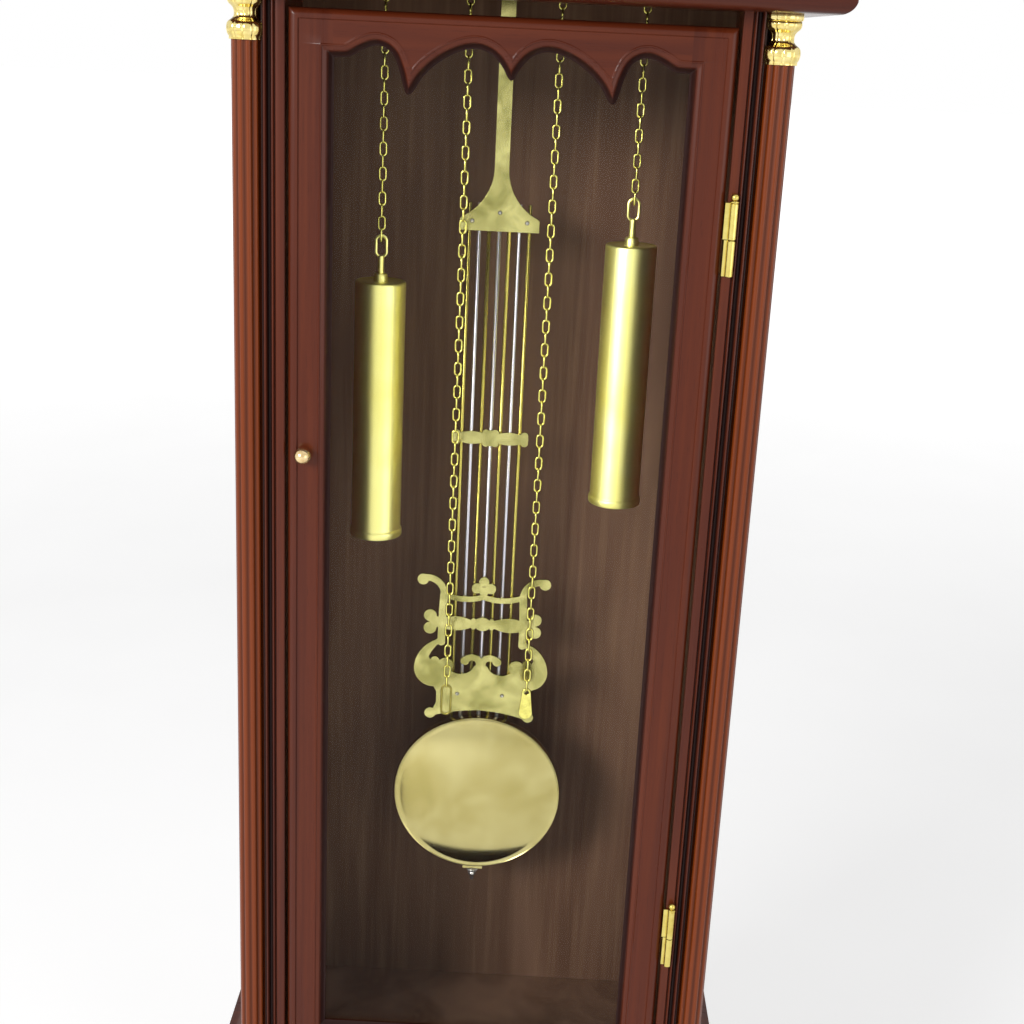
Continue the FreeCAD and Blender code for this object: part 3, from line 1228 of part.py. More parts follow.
def bob(rod_y):
    """A dished brass disc in front of the rods, the cleat behind it, and the rating nut."""
    rear = plate_y + s.lyre_plate / 2 - s.seat_gap
    front = rear - s.bob_thickness
    rim = s.bob_radius
    zero = Size(0, "0")
    corners = [(front, zero), (front + s.bob_rim, rim - s.bob_edge),
               (front + s.bob_rim, rim - s.bob_edge / 4), (front + s.bob_rim * 1.6, rim), (rear, rim),
               (rear, zero)]
    dish = turned("bob_dish", corners[::-1], swing_x, zero, bob_z, level=True)
    low = bob_z - rim - s.nut_gap
    cleat = board("bob_cleat", (swing_x - s.cleat_width / 2, rear, low),
                  (swing_x + s.cleat_width / 2, rod_y + s.rod_radius + s.nut_radius / 2,
                   low + s.cleat_height))
    bore = s.rod_radius + s.nut_play
    tunnel = pin("bob_tunnel", bore, (swing_x, rod_y, low - s.overrun),
                 s.cleat_height + 2 * s.overrun, Z_AXIS)
    node(cut("pendulum_bob", fuse("bob_whole", dish, cleat), tunnel), "pendulum_bob")
    nut_top = low - s.nut_play
    nut = pin("nut_blank", s.nut_radius, (swing_x, rod_y, nut_top - s.nut_height), s.nut_height, Z_AXIS)
    thread = pin("nut_bore", bore, (swing_x, rod_y, nut_top - s.nut_height - s.overrun),
                 s.nut_height + 2 * s.overrun, Z_AXIS)
    node(cut("rating_nut", nut, thread), "rating_nut")


def check_and_write():
    """Stop at the first object that failed, then write each sub-part to its own file."""
    doc.recompute()
    for obj in doc.Objects:
        if "Invalid" in obj.State or "Error" in obj.State:
            raise RuntimeError("%s failed: %s" % (obj.Label, obj.State))
    os.makedirs("parts", exist_ok=True)
    for name, obj in nodes.items():
        if obj.Shape.isNull() or not obj.Shape.isValid() or not obj.Shape.Solids:
            raise RuntimeError("%s has no valid shape" % name)
        obj.Shape.exportStep("parts/%s.step" % name)
    print(len(nodes), "sub-parts")


for build in (base, trunk, door, hinges, hood, column_caps, hood_door, dial, movement, weights,
              pendulum):
    build()
check_and_write()
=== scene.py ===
"""Looks of a longcase clock: lacquered red-brown case, brass capitals, chains, weights and pendulum.

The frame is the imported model's: X to the right, Y to the back, Z up. Tables of places and sizes are in
mm and become metres where a mesh is made. A value that is written with MM is in metres already.
"""
import json
import math

import bmesh
import bpy
import numpy as np
from mathutils import Matrix, Vector

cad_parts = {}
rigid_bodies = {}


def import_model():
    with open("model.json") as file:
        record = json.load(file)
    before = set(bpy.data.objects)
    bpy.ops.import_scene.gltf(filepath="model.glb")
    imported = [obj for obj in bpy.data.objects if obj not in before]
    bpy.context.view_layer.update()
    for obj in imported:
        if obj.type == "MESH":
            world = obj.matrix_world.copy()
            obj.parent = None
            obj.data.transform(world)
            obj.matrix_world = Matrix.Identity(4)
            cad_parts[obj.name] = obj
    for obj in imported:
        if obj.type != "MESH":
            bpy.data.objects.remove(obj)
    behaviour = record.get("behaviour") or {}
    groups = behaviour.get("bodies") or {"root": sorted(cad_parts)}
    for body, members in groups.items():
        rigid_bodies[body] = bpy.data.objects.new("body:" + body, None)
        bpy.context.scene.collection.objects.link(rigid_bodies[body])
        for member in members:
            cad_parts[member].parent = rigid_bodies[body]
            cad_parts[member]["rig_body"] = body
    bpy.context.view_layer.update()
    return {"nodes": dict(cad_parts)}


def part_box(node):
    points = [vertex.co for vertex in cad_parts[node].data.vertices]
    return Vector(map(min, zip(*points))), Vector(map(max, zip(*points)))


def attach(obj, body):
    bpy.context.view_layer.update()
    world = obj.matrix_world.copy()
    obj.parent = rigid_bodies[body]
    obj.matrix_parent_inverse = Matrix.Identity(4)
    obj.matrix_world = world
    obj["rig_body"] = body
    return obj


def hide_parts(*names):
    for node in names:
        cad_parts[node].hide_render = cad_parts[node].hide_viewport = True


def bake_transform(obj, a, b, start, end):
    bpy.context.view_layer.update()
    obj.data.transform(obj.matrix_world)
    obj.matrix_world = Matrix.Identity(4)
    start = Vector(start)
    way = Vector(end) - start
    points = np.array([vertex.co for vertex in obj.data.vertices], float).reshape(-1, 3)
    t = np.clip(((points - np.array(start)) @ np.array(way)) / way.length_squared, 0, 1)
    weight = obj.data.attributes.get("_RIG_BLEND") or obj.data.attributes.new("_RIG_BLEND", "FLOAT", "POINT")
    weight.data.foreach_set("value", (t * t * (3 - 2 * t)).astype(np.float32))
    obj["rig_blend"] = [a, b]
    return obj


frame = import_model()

MM = 0.001
ASIDE, BACK, UP = Vector((1, 0, 0)), Vector((0, 1, 0)), Vector((0, 0, 1))
# Points closer than this are one point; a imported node's own points lie a little farther apart
SAME_PLACE, SAME_NODE_PLACE = 0.001 * MM, 0.005 * MM
# Faces that meet at less than this are one flat face
FLAT = math.radians(0.6)


def colour(code):
    """A linear colour from an sRGB hex value."""
    parts = [int(code[index:index + 2], 16) / 255 for index in (1, 3, 5)]
    linear = [part / 12.92 if part <= 0.04045 else ((part + 0.055) / 1.055) ** 2.4 for part in parts]
    return (*linear, 1.0)


def add(tree, kind, inputs=None, **settings):
    """Add one node, with its settings, and its inputs set to a value or linked to a socket."""
    node = tree.nodes.new(kind)
    for name, value in settings.items():
        setattr(node, name, value)
    for socket, value in (inputs or {}).items():
        if isinstance(value, bpy.types.NodeSocket):
            tree.links.new(value, node.inputs[socket])
        else:
            node.inputs[socket].default_value = value
    return node


def finish(name, **sockets):
    """A new material with its shader's own sockets set, its tree, and the place on the piece."""
    material = bpy.data.materials.new(name)
    material.use_nodes = True
    tree = material.node_tree
    shader = tree.nodes["Principled BSDF"]
    for socket, value in sockets.items():
        shader.inputs[socket.replace("_", " ")].default_value = value
    return material, tree, shader, add(tree, "ShaderNodeTexCoord").outputs["Object"]


def grained(tree, place, across, along, grain, detail=2.0, distortion=0.0):
    """Noise stretched along the grain, as wide across it as one size and as long as the other."""
    scale = [1 / across] * 3
    scale["XYZ".index(grain)] = 1 / along
    stretched = add(tree, "ShaderNodeMapping", {"Vector": place, "Scale": scale}, vector_type="POINT")
    return add(tree, "ShaderNodeTexNoise", {"Vector": stretched.outputs[0], "Scale": 1.0, "Detail": detail,
                                            "Distortion": distortion}).outputs["Fac"]


def between(tree, share, low, high, to_low=0.0, to_high=1.0):
    """A share of one range spread over another."""
    return add(tree, "ShaderNodeMapRange", {"Value": share, "From Min": low, "From Max": high,
                                            "To Min": to_low, "To Max": to_high}).outputs[0]


def mixed(tree, share, first, second):
    """A colour between two, each a hex value or a socket."""
    ends = [colour(end) if isinstance(end, str) else end for end in (first, second)]
    return add(tree, "ShaderNodeMix", {0: share, 6: ends[0], 7: ends[1]}, data_type="RGBA").outputs[2]


def lacquered_mahogany(name, grain, warm=None, warmth=0.0):
    """Mahogany-stained hardwood under rubbed lacquer: deep red-brown with faint orange streaks, dark pores
    and a soft clear shine. In recesses, as the piece's own attribute says, the colour goes nearly black:
    partly stain pooled there, partly painted shade. A column's reeds are rubbed to orange-brown. Pores are
    drawn 0.9 mm wide, about three times the real ones, so that they show."""
    material, tree, shader, place = finish(name, Specular_IOR_Level=0.18, Coat_Weight=0.25,
                                           Coat_Roughness=0.1, Coat_IOR=1.35)
    broad = grained(tree, place, 90 * MM, 900 * MM, grain, 1.0, 0.3)
    streak = grained(tree, place, 7 * MM, 260 * MM, grain, 2.0, 0.2)
    pore = grained(tree, place, 0.9 * MM, 16 * MM, grain)
    body = mixed(tree, between(tree, broad, 0.35, 0.65), "#481a0c", "#5b240f")
    body = mixed(tree, between(tree, streak, 0.42, 0.78, 0.0, 0.42), body, "#743417")
    body = mixed(tree, between(tree, pore, 0.6, 0.75, 0.0, 0.3), body, "#2a0c06")
    if warm:
        body = mixed(tree, warmth, body, warm)
    # Painted shade with some pooled stain: recesses go nearly black where the attribute says
    sunk_stain_and_shade = add(tree, "ShaderNodeAttribute", attribute_name="stain_and_painted_shade").outputs["Fac"]
    body = mixed(tree, sunk_stain_and_shade, body, "#260a05")
    tree.links.new(body, shader.inputs["Base Color"])
    polish = between(tree, streak, 0.3, 0.7, 0.26, 0.36)
    dulled = add(tree, "ShaderNodeMath", {0: sunk_stain_and_shade, 1: 0.4}, operation="MULTIPLY").outputs[0]
    rough = add(tree, "ShaderNodeMath", {0: polish, 1: dulled}, operation="ADD").outputs[0]
    tree.links.new(rough, shader.inputs["Roughness"])
    bump = add(tree, "ShaderNodeBump", {"Height": pore, "Strength": 0.12, "Distance": 0.1 * MM})
    tree.links.new(bump.outputs[0], shader.inputs["Normal"])
    return material


def stained_plywood():
    """Stained veneer plywood inside the case: dull warm brown, upright grain, a few paler streaks."""
    material, tree, shader, place = finish("stained_plywood", Specular_IOR_Level=0.2)
    broad = grained(tree, place, 60 * MM, 600 * MM, "Z", 2.0, 0.8)
    streak = grained(tree, place, 5 * MM, 150 * MM, "Z", 3.0)
    body = mixed(tree, between(tree, broad, 0.35, 0.68), "#694b38", "#876750")
    body = mixed(tree, between(tree, streak, 0.45, 0.8, 0.0, 0.5), body, "#9a7a5c")
    tree.links.new(body, shader.inputs["Base Color"])
    tree.links.new(between(tree, streak, 0.3, 0.7, 0.5, 0.65), shader.inputs["Roughness"])
    bump = add(tree, "ShaderNodeBump", {"Height": streak, "Strength": 0.12, "Distance": 0.15 * MM})
    tree.links.new(bump.outputs[0], shader.inputs["Normal"])
    return material


def brass(name, pale, deep, low, high, patch_size):
    """Lacquered yellow brass: a clean metal shine, a little deeper in worn patches of a given size where the
    lacquer has aged, and on the mirror-bright bob in broad patches that are painted reflections of the room.
    Its roughness runs from low to high."""
    material, tree, shader, place = finish(name, Metallic=1.0)
    aged_lacquer_and_painted_reflection = grained(tree, place, patch_size, patch_size, "Z", 3.0, 0.5)
    tree.links.new(mixed(tree, between(tree, aged_lacquer_and_painted_reflection, 0.35, 0.7), pale, deep), shader.inputs["Base Color"])
    tree.links.new(between(tree, aged_lacquer_and_painted_reflection, 0.3, 0.7, low, high), shader.inputs["Roughness"])
    return material


def drawn_metal(name, pale, deep, low, high):
    """Drawn metal: lines along its length that show as a slight change of shine, its roughness running
    from low to high. They are drawn 0.5 mm wide, coarser than the real ones, so that they show."""
    material, tree, shader, place = finish(name, Metallic=1.0)
    lines = grained(tree, place, 0.5 * MM, 60 * MM, "Z", 2.0)
    tree.links.new(mixed(tree, lines, pale, deep), shader.inputs["Base Color"])
    tree.links.new(between(tree, lines, 0.3, 0.7, low, high), shader.inputs["Roughness"])
    return material


def clear_glass():
    """Float glass: clear, hardly tinted, with a faint shine on its surface. Light passes it freely."""
    material, tree, shader, place = finish("float_glass", Transmission_Weight=1.0, Roughness=0.0, IOR=1.12)
    haze = grained(tree, place, 120 * MM, 120 * MM, "Z", 2.0)
    tree.links.new(mixed(tree, haze, "#fbfdfc", "#ffffff"), shader.inputs["Base Color"])
    path = add(tree, "ShaderNodeLightPath").outputs
    passing = add(tree, "ShaderNodeMath", {0: path["Is Shadow Ray"], 1: path["Is Diffuse Ray"]},
                  operation="MAXIMUM").outputs[0]
    through = add(tree, "ShaderNodeBsdfTransparent").outputs[0]
    either = add(tree, "ShaderNodeMixShader", {0: passing, 1: shader.outputs[0], 2: through})
    tree.links.new(either.outputs[0], tree.nodes["Material Output"].inputs["Surface"])
    return material


def silvered_brass():
    """Silvered brass of a chapter ring: pale, nearly white, dull metal with a stippled grain, drawn
    0.8 mm wide, coarser than the real one, so that it shows."""
    material, tree, shader, place = finish("silvered_brass", Metallic=0.8)
    grit = grained(tree, place, 0.8 * MM, 0.8 * MM, "Z", 2.0)
    tree.links.new(mixed(tree, grit, "#d8d6ca", "#eae8de"), shader.inputs["Base Color"])
    tree.links.new(between(tree, grit, 0.3, 0.7, 0.35, 0.5), shader.inputs["Roughness"])
    return material


def black_wax():
    """Black wax in engraved figures: near black, dull, uneven in 0.6 mm spots that are coarser than the
    real ones, so that they show."""
    material, tree, shader, place = finish("black_wax", Specular_IOR_Level=0.3)
    grit = grained(tree, place, 0.6 * MM, 0.6 * MM, "Z", 2.0)
    tree.links.new(mixed(tree, grit, "#0e0c0c", "#1c1a18"), shader.inputs["Base Color"])
    tree.links.new(between(tree, grit, 0.3, 0.7, 0.5, 0.65), shader.inputs["Roughness"])
    return material


WOOD = {grain: lacquered_mahogany("lacquered_mahogany_" + grain, grain) for grain in "XYZ"}
REEDED_WOOD = lacquered_mahogany("lacquered_mahogany_reeds", "Z", warm="#8a3e12", warmth=0.75)
PLYWOOD = stained_plywood()
GLASS = clear_glass()
# Rolled tube: a soft, broad, pale shine down its length
WEIGHT_BRASS = brass("rolled_brass_tube", "#fbf49c", "#f2e884", 0.36, 0.44, 60 * MM)
# A casting polished by hand: nearly a mirror, so its rings and nicks glitter
CAPITAL_BRASS = brass("polished_cast_brass", "#f0de98", "#dcc36c", 0.08, 0.18, 8 * MM)
# Bright drawn wire: a small glint on every link
CHAIN_BRASS = brass("bright_brass_wire", "#f0e884", "#dcd068", 0.16, 0.28, 6 * MM)
# The same wire with its lacquer gone: dull and olive
DULL_BRASS = brass("dull_brass_wire", "#a89c50", "#8c803c", 0.3, 0.45, 6 * MM)
# A casting rubbed by fingers: warm and softly bright
KNOB_BRASS = brass("rubbed_brass_casting", "#ecd6a4", "#d8b884", 0.14, 0.26, 6 * MM)
# Drawn strip: even yellow, its glints a little soft
HINGE_BRASS = brass("drawn_brass", "#e0cf78", "#cdb85e", 0.16, 0.26, 12 * MM)
# Rolled sheet buffed to a mirror: pale, with painted reflections of the room lying on it as broad light and
# dark patches
BOB_BRASS = brass("polished_sheet_brass", "#c6ba80", "#aea060", 0.1, 0.16, 60 * MM)
# Sheet as it left the press: clouded, half bright
PLATE_BRASS = brass("pressed_sheet_brass", "#c8c07c", "#8c8748", 0.12, 0.22, 26 * MM)
# Matted sheet: dull gold without any glint
DIAL_BRASS = brass("matted_dial_brass", "#cdb96a", "#bba55a", 0.4, 0.5, 30 * MM)
# Drawn rods: yellow ones and cool pale ones, each with one soft line of light
ROD_BRASS = drawn_metal("drawn_brass_rod", "#d0c268", "#b8aa52", 0.2, 0.3)
ROD_STEEL = drawn_metal("drawn_steel_rod", "#e2e0ea", "#cbc9d4", 0.24, 0.34)
# Turned steel: plain grey, softly bright
SCREW_STEEL = drawn_metal("turned_steel", "#c8c4be", "#a8a49e", 0.22, 0.34)
# Steel blued by heat: nearly black, with a blue cast in the light
BLUED_STEEL = drawn_metal("blued_steel", "#1c2440", "#141a30", 0.22, 0.32)
SILVERED = silvered_brass()
WAX = black_wax()


def shown(name, mesh, material, body, replaced=(), slot=None, sharp=35):
    """Put a finished mesh into the scene as a piece that rides on a body. Edges that bend by more than
    so many degrees stay sharp, and with None the mesh keeps its own normals."""
    if material:
        mesh.materials.clear()
        mesh.materials.append(material)
    if sharp:
        mesh.polygons.foreach_set("use_smooth", [True] * len(mesh.polygons))
        mesh.set_sharp_from_angle(angle=math.radians(sharp))
    piece = bpy.data.objects.new(name, mesh)
    bpy.context.scene.collection.objects.link(piece)
    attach(piece, body)
    if replaced:
        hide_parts(*replaced)
    return piece


def made(maker, name):
    """A mesh from what was built, its doubles merged and its faces turned outward."""
    bmesh.ops.remove_doubles(maker, verts=maker.verts, dist=SAME_PLACE)
    bmesh.ops.recalc_face_normals(maker, faces=maker.faces)
    mesh = bpy.data.meshes.new(name)
    maker.to_mesh(mesh)
    maker.free()
    return mesh


def evaluated(mesh, name, *modifiers):
    """A mesh after modifiers, each a type and its settings."""
    carrier = bpy.data.objects.new(name + "_carrier", mesh)
    bpy.context.scene.collection.objects.link(carrier)
    for kind, settings in modifiers:
        modifier = carrier.modifiers.new(kind, kind)
        for key, value in settings.items():
            setattr(modifier, key, value)
    seen = carrier.evaluated_get(bpy.context.evaluated_depsgraph_get())
    result = bpy.data.meshes.new_from_object(seen)
    result.name = name
    bpy.data.objects.remove(carrier)
    return result


def eased(width, sharp=32, segments=2):
    """The small round that a hand leaves on a sharp edge."""
    return ("BEVEL", {"width": width, "segments": segments, "limit_method": "ANGLE",
                      "angle_limit": math.radians(sharp), "use_clamp_overlap": True})


def merged_copy(node):
    """The node's own shape as one welded mesh, with flat faces in one piece."""
    maker = bmesh.new()
    maker.from_mesh(frame["nodes"][node].data)
    bmesh.ops.remove_doubles(maker, verts=maker.verts, dist=SAME_NODE_PLACE)
    bmesh.ops.dissolve_limit(maker, angle_limit=FLAT, verts=maker.verts, edges=maker.edges)
    mesh = bpy.data.meshes.new(node + "_copy")
    maker.to_mesh(mesh)
    maker.free()
    mesh.polygons.foreach_set("use_smooth", [True] * len(mesh.polygons))
    return mesh


def levelled(mesh, widest=50):
    """Normals that follow the larger faces, so that flat ones stay flat beside their eased edges. Only
    faces that bend by less than the widest angle are evened out."""
    closest = math.cos(math.radians(widest))
    faces = [(face.normal.copy(), face.area) for face in mesh.polygons]
    around = [[] for vert in mesh.vertices]
    for face in mesh.polygons:
        for vert in face.vertices:
            around[vert].append(face.index)
    normals = []
    for face in mesh.polygons:
        own = faces[face.index][0]
        for vert in face.vertices:
            total = Vector((0, 0, 0))
            for index in around[vert]:
                normal, area = faces[index]
                if normal.dot(own) > closest:
                    total += normal * area
            normals.append(total.normalized())
    mesh.normals_split_custom_set(normals)
    return mesh


def soften(node, material, width, slot):
    """The node's own shape with its sharp edges eased."""
    mesh = levelled(evaluated(merged_copy(node), node + "_eased", eased(width)))
    body = frame["nodes"][node]["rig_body"]
    shown(node + "_finished", mesh, material, body, [node], slot, sharp=None)


def turned(profile, centre, axis, steps, wave=None):
    """A turned form. Its profile holds (radius, place along the axis) from pole to pole, in mm, and a
    wave gives the share of the radius that is left at an angle and a place along the axis."""
    maker = bmesh.new()
    first, second, ahead = {"Z": (ASIDE, BACK, UP), "Y": (ASIDE, UP, BACK)}[axis]
    rings = []
    for radius, along in profile:
        ring = []
        for step in range(steps if radius * MM > SAME_PLACE else 1):
            angle = 2 * math.pi * step / steps
            out = radius * (wave(angle, along) if wave else 1.0)
            place = first * (out * math.cos(angle)) + second * (out * math.sin(angle)) + ahead * along
            ring.append(maker.verts.new((Vector(centre) + place) * MM))
        rings.append(ring)
    for low, high in zip(rings, rings[1:]):
        for step in range(steps):
            after = (step + 1) % steps
            corners = [low[step % len(low)], low[after % len(low)],
                       high[after % len(high)], high[step % len(high)]]
            corners = [vert for index, vert in enumerate(corners) if vert not in corners[:index]]
            if len(corners) > 2:
                maker.faces.new(corners)
    return maker


def flowing(points, steps):
    """A smooth line through points, each stretch in a few steps."""
    ends = [points[0]] + list(points) + [points[-1]]
    line = []
    for a, b, c, d in zip(ends, ends[1:], ends[2:], ends[3:]):
        for step in range(steps):
            t = step / steps
            line.append(tuple(0.5 * (2 * q + (r - p) * t + (2 * p - 5 * q + 4 * r - u) * t * t
                                     + (3 * q - p - 3 * r + u) * t ** 3)
                              for p, q, r, u in zip(a, b, c, d)))
    return line + [tuple(points[-1])]


def geometry_tree(name, inputs):
    """A Geometry Nodes tree that takes points, with its named inputs and what they start from."""
    tree = bpy.data.node_groups.new(name, "GeometryNodeTree")
    sockets = tree.interface
    sockets.new_socket("Points", in_out="INPUT", socket_type="NodeSocketGeometry")
    for label, kind, start in inputs:
        socket = sockets.new_socket(label, in_out="INPUT", socket_type="NodeSocket" + kind)
        if start is not None:
            socket.default_value = start
    sockets.new_socket("Pieces", in_out="OUTPUT", socket_type="NodeSocketGeometry")
    return tree, add(tree, "NodeGroupInput").outputs


def placed(tree, given, shape):
    """The end of a tree: the shape on every point, with that point's own turn and size."""
    turn = add(tree, "GeometryNodeInputNamedAttribute", {"Name": "turn"}, data_type="FLOAT_VECTOR")
    size = add(tree, "GeometryNodeInputNamedAttribute", {"Name": "size"}, data_type="FLOAT")
    copies = add(tree, "GeometryNodeInstanceOnPoints", {"Points": given["Points"], "Instance": shape,
                                                        "Rotation": turn.outputs["Attribute"],
                                                        "Scale": size.outputs["Attribute"]})
    solid = add(tree, "GeometryNodeRealizeInstances", {0: copies.outputs[0]})
    dressed = add(tree, "GeometryNodeSetMaterial", {"Geometry": solid.outputs[0],
                                                    "Material": given["Material"]})
    add(tree, "NodeGroupOutput", {0: dressed.outputs[0]})
    return tree


# A round head's flat face as a share of its radius, and how much wider every fifth minute's mark is
HEAD_FACE_SHARE = 0.62
MINUTES, FIFTH_WIDER = 60, 2.6


def link_tree():
    """An upright oval link of round wire on every point."""
    tree, given = geometry_tree("oval_links", (("Length", "Float", 13.5 * MM),
                                               ("Width", "Float", 7.2 * MM), ("Wire", "Float", 1.6 * MM),
                                               ("Material", "Material", None)))

    def half(size, less=0.0):
        """Half of a size, or of what is left of it."""
        left = add(tree, "ShaderNodeMath", {0: size, 1: less}, operation="SUBTRACT").outputs[0]
        return add(tree, "ShaderNodeMath", {0: left, 1: 0.5}, operation="MULTIPLY").outputs[0]

    radius = half(given["Width"], given["Wire"])
    ring = add(tree, "GeometryNodeCurvePrimitiveCircle", {"Resolution": 12, "Radius": radius},
               mode="RADIUS")
    # Stood up and turned by half a step, so that no point lies at the middle, where the halves part
    stood = add(tree, "GeometryNodeTransform",
                {"Geometry": ring.outputs[0], "Rotation": (math.radians(90), math.radians(15), 0)})
    place = add(tree, "GeometryNodeInputPosition").outputs[0]
    height = add(tree, "ShaderNodeSeparateXYZ", {0: place}).outputs["Z"]
    way = add(tree, "ShaderNodeMath", {0: height}, operation="SIGN").outputs[0]
    rise = add(tree, "ShaderNodeMath", {0: way, 1: half(given["Length"], given["Width"])},
               operation="MULTIPLY").outputs[0]
    offset = add(tree, "ShaderNodeCombineXYZ", {"Z": rise}).outputs[0]
    oval = add(tree, "GeometryNodeSetPosition", {"Geometry": stood.outputs[0], "Offset": offset})
    wire = add(tree, "GeometryNodeCurvePrimitiveCircle",
               {"Resolution": 6, "Radius": half(given["Wire"])}, mode="RADIUS")
    link = add(tree, "GeometryNodeCurveToMesh",
               {"Curve": oval.outputs[0], "Profile Curve": wire.outputs[0]})
    return placed(tree, given, link.outputs[0])


def head_tree():
    """A low round head, its back on every point and its face towards the viewer."""
    tree, given = geometry_tree("round_heads", (("Radius", "Float", 2.5 * MM),
                                                ("Height", "Float", 1.2 * MM),
                                                ("Material", "Material", None)))
    face = add(tree, "ShaderNodeMath", {0: given["Radius"], 1: HEAD_FACE_SHARE},
               operation="MULTIPLY").outputs[0]
    head = add(tree, "GeometryNodeMeshCone", {"Vertices": 20, "Radius Top": face,
                                              "Radius Bottom": given["Radius"], "Depth": given["Height"]})
    return placed(tree, given, head.outputs[0])


def mark_tree():
    """Minute marks round a ring, every fifth one wider, round each point."""
    tree, given = geometry_tree("minute_marks", (("Radius", "Float", 112 * MM),
                                                 ("Length", "Float", 4 * MM), ("Width", "Float", 0.7 * MM),
                                                 ("Material", "Material", None)))
    size = add(tree, "ShaderNodeCombineXYZ", {"X": given["Width"], "Y": 0.3 * MM, "Z": given["Length"]})
    mark = add(tree, "GeometryNodeMeshCube", {"Size": size.outputs[0]})
    out = add(tree, "ShaderNodeCombineXYZ", {"Z": given["Radius"]}).outputs[0]
    moved = add(tree, "GeometryNodeTransform", {"Geometry": mark.outputs[0], "Translation": out})
    dots = add(tree, "GeometryNodePoints", {"Count": MINUTES})
    index = add(tree, "GeometryNodeInputIndex").outputs[0]
    angle = add(tree, "ShaderNodeMath", {0: index, 1: math.radians(360 / MINUTES)},
                operation="MULTIPLY").outputs[0]
    turn = add(tree, "ShaderNodeCombineXYZ", {"Y": angle}).outputs[0]
    rest = add(tree, "ShaderNodeMath", {0: index, 1: 5.0}, operation="MODULO").outputs[0]
    wide = between(tree, rest, 0.0, 1.0, FIFTH_WIDER, 1.0)
    scale = add(tree, "ShaderNodeCombineXYZ", {"X": wide, "Y": 1.0, "Z": 1.0}).outputs[0]
    ring = add(tree, "GeometryNodeInstanceOnPoints", {"Points": dots.outputs[0],
                                                      "Instance": moved.outputs[0],
                                                      "Rotation": turn, "Scale": scale})
    return placed(tree, given, ring.outputs[0])


def grown(name, tree, points, material, **given):
    """The mesh that a tree makes from points, each a place in mm, a turn and a size."""
    mesh = bpy.data.meshes.new(name + "_points")
    mesh.from_pydata([Vector(place) * MM for place, turn, size in points], [], [])
    turns = mesh.attributes.new("turn", "FLOAT_VECTOR", "POINT")
    turns.data.foreach_set("vector", [angle for place, turn, size in points for angle in turn])
    sizes = mesh.attributes.new("size", "FLOAT", "POINT")
    sizes.data.foreach_set("value", [size for place, turn, size in points])
    carrier = bpy.data.objects.new(name + "_points", mesh)
    bpy.context.scene.collection.objects.link(carrier)
    modifier = carrier.modifiers.new(tree.name, "NODES")
    modifier.node_group = tree
    given["Material"] = material
    for socket in tree.interface.items_tree:
        if socket.name in given:
            modifier[socket.identifier] = given[socket.name]
    seen = carrier.evaluated_get(bpy.context.evaluated_depsgraph_get())
    result = bpy.data.meshes.new_from_object(seen)
    result.name = name
    bpy.data.objects.remove(carrier)
    return result


def prism(maker, corners, front, back):
    """A flat piece upright in the XZ plane, between two depths, in mm."""
    rings = [[maker.verts.new(Vector((x, y, z)) * MM) for x, z in corners] for y in (front, back)]
    maker.faces.new(rings[0])
    maker.faces.new(rings[1][::-1])
    for index in range(len(corners)):
        after = (index + 1) % len(corners)
        maker.faces.new([rings[0][index], rings[1][index], rings[1][after], rings[0][after]])


def looped(rings):
    """A skin over rings of equal length, closed at both ends, in mm."""
    maker = bmesh.new()
    rings = [[maker.verts.new(Vector(place) * MM) for place in ring] for ring in rings]
    for near, far in zip(rings, rings[1:]):
        for index in range(len(near)):
            after = (index + 1) % len(near)
            maker.faces.new([near[index], near[after], far[after], far[index]])
    maker.faces.new(rings[0])
    maker.faces.new(rings[-1][::-1])
    return maker


def joined(name, parts):
    """One mesh of several closed ones."""
    maker = bmesh.new()
    for part in parts:
        maker.from_mesh(part)
        bpy.data.meshes.remove(part)
    return made(maker, name)


def stained_and_shaded(mesh, share_at):
    """Write how dark the stain and the painted shade lie at each point, from its place in mm."""
    layer = mesh.attributes.new("stain_and_painted_shade", "FLOAT", "POINT")
    shares = [min(max(share_at(*(vert.co / MM)), 0.0), 1.0) for vert in mesh.vertices]
    layer.data.foreach_set("value", shares)
    return mesh


def box_of(node):
    """The lowest and the highest corner of a node, in mm."""
    return [[value / MM for value in corner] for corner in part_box(node)]


LINKS = link_tree()
HEADS = head_tree()
MARKS = mark_tree()

# Case joinery: each board keeps its shape and gets eased edges and a grain that runs its own way.
CASE_BOARDS = {"Z": ("base_sides", "trunk_side_right", "trunk_side_left", "hood_sides"),
               "X": ("base_front_panel", "base_skirt", "waist_moulding", "trunk_bottom_rail", "hood_ledge",
                     "hood_front", "hood_cornice", "hood_door_frame"),
               "Y": ("hood_roof",)}
INSIDE_BOARDS = ("back_panel", "base_floor", "case_floor", "seat_board")
BOARD_EDGE = 0.5 * MM


def case():
    """The boards of base, trunk and hood, seen from outside and inside."""
    for grain, names in CASE_BOARDS.items():
        for name in names:
            soften(name, WOOD[grain], BOARD_EDGE, "stained_wood")
    for name in INSIDE_BOARDS:
        soften(name, PLYWOOD, BOARD_EDGE, "inside_wood")


# The face of the stile from the door's side to the column's: a flat band, a thin arris between a fine
# and a deep groove, and a small rib (mm from the middle, mm forward)
STILE_FACE = [(176.2, -82.2), (176.9, -82.9), (178.4, -83), (182, -83), (183.1, -82.8), (183.6, -82),
              (184.1, -80.4), (184.7, -80.6), (185.1, -82), (185.8, -82.6), (186.5, -82.4), (187, -81.2),
              (187.4, -78.6), (188.6, -77), (190, -77.2), (190.8, -79.2), (191.3, -81.2), (192.2, -82),
              (193.1, -81.6), (193.6, -79.6), (194.2, -77.2), (195.4, -76.4)]
STILE_BACK = -45
STILE_HIDDEN = -60
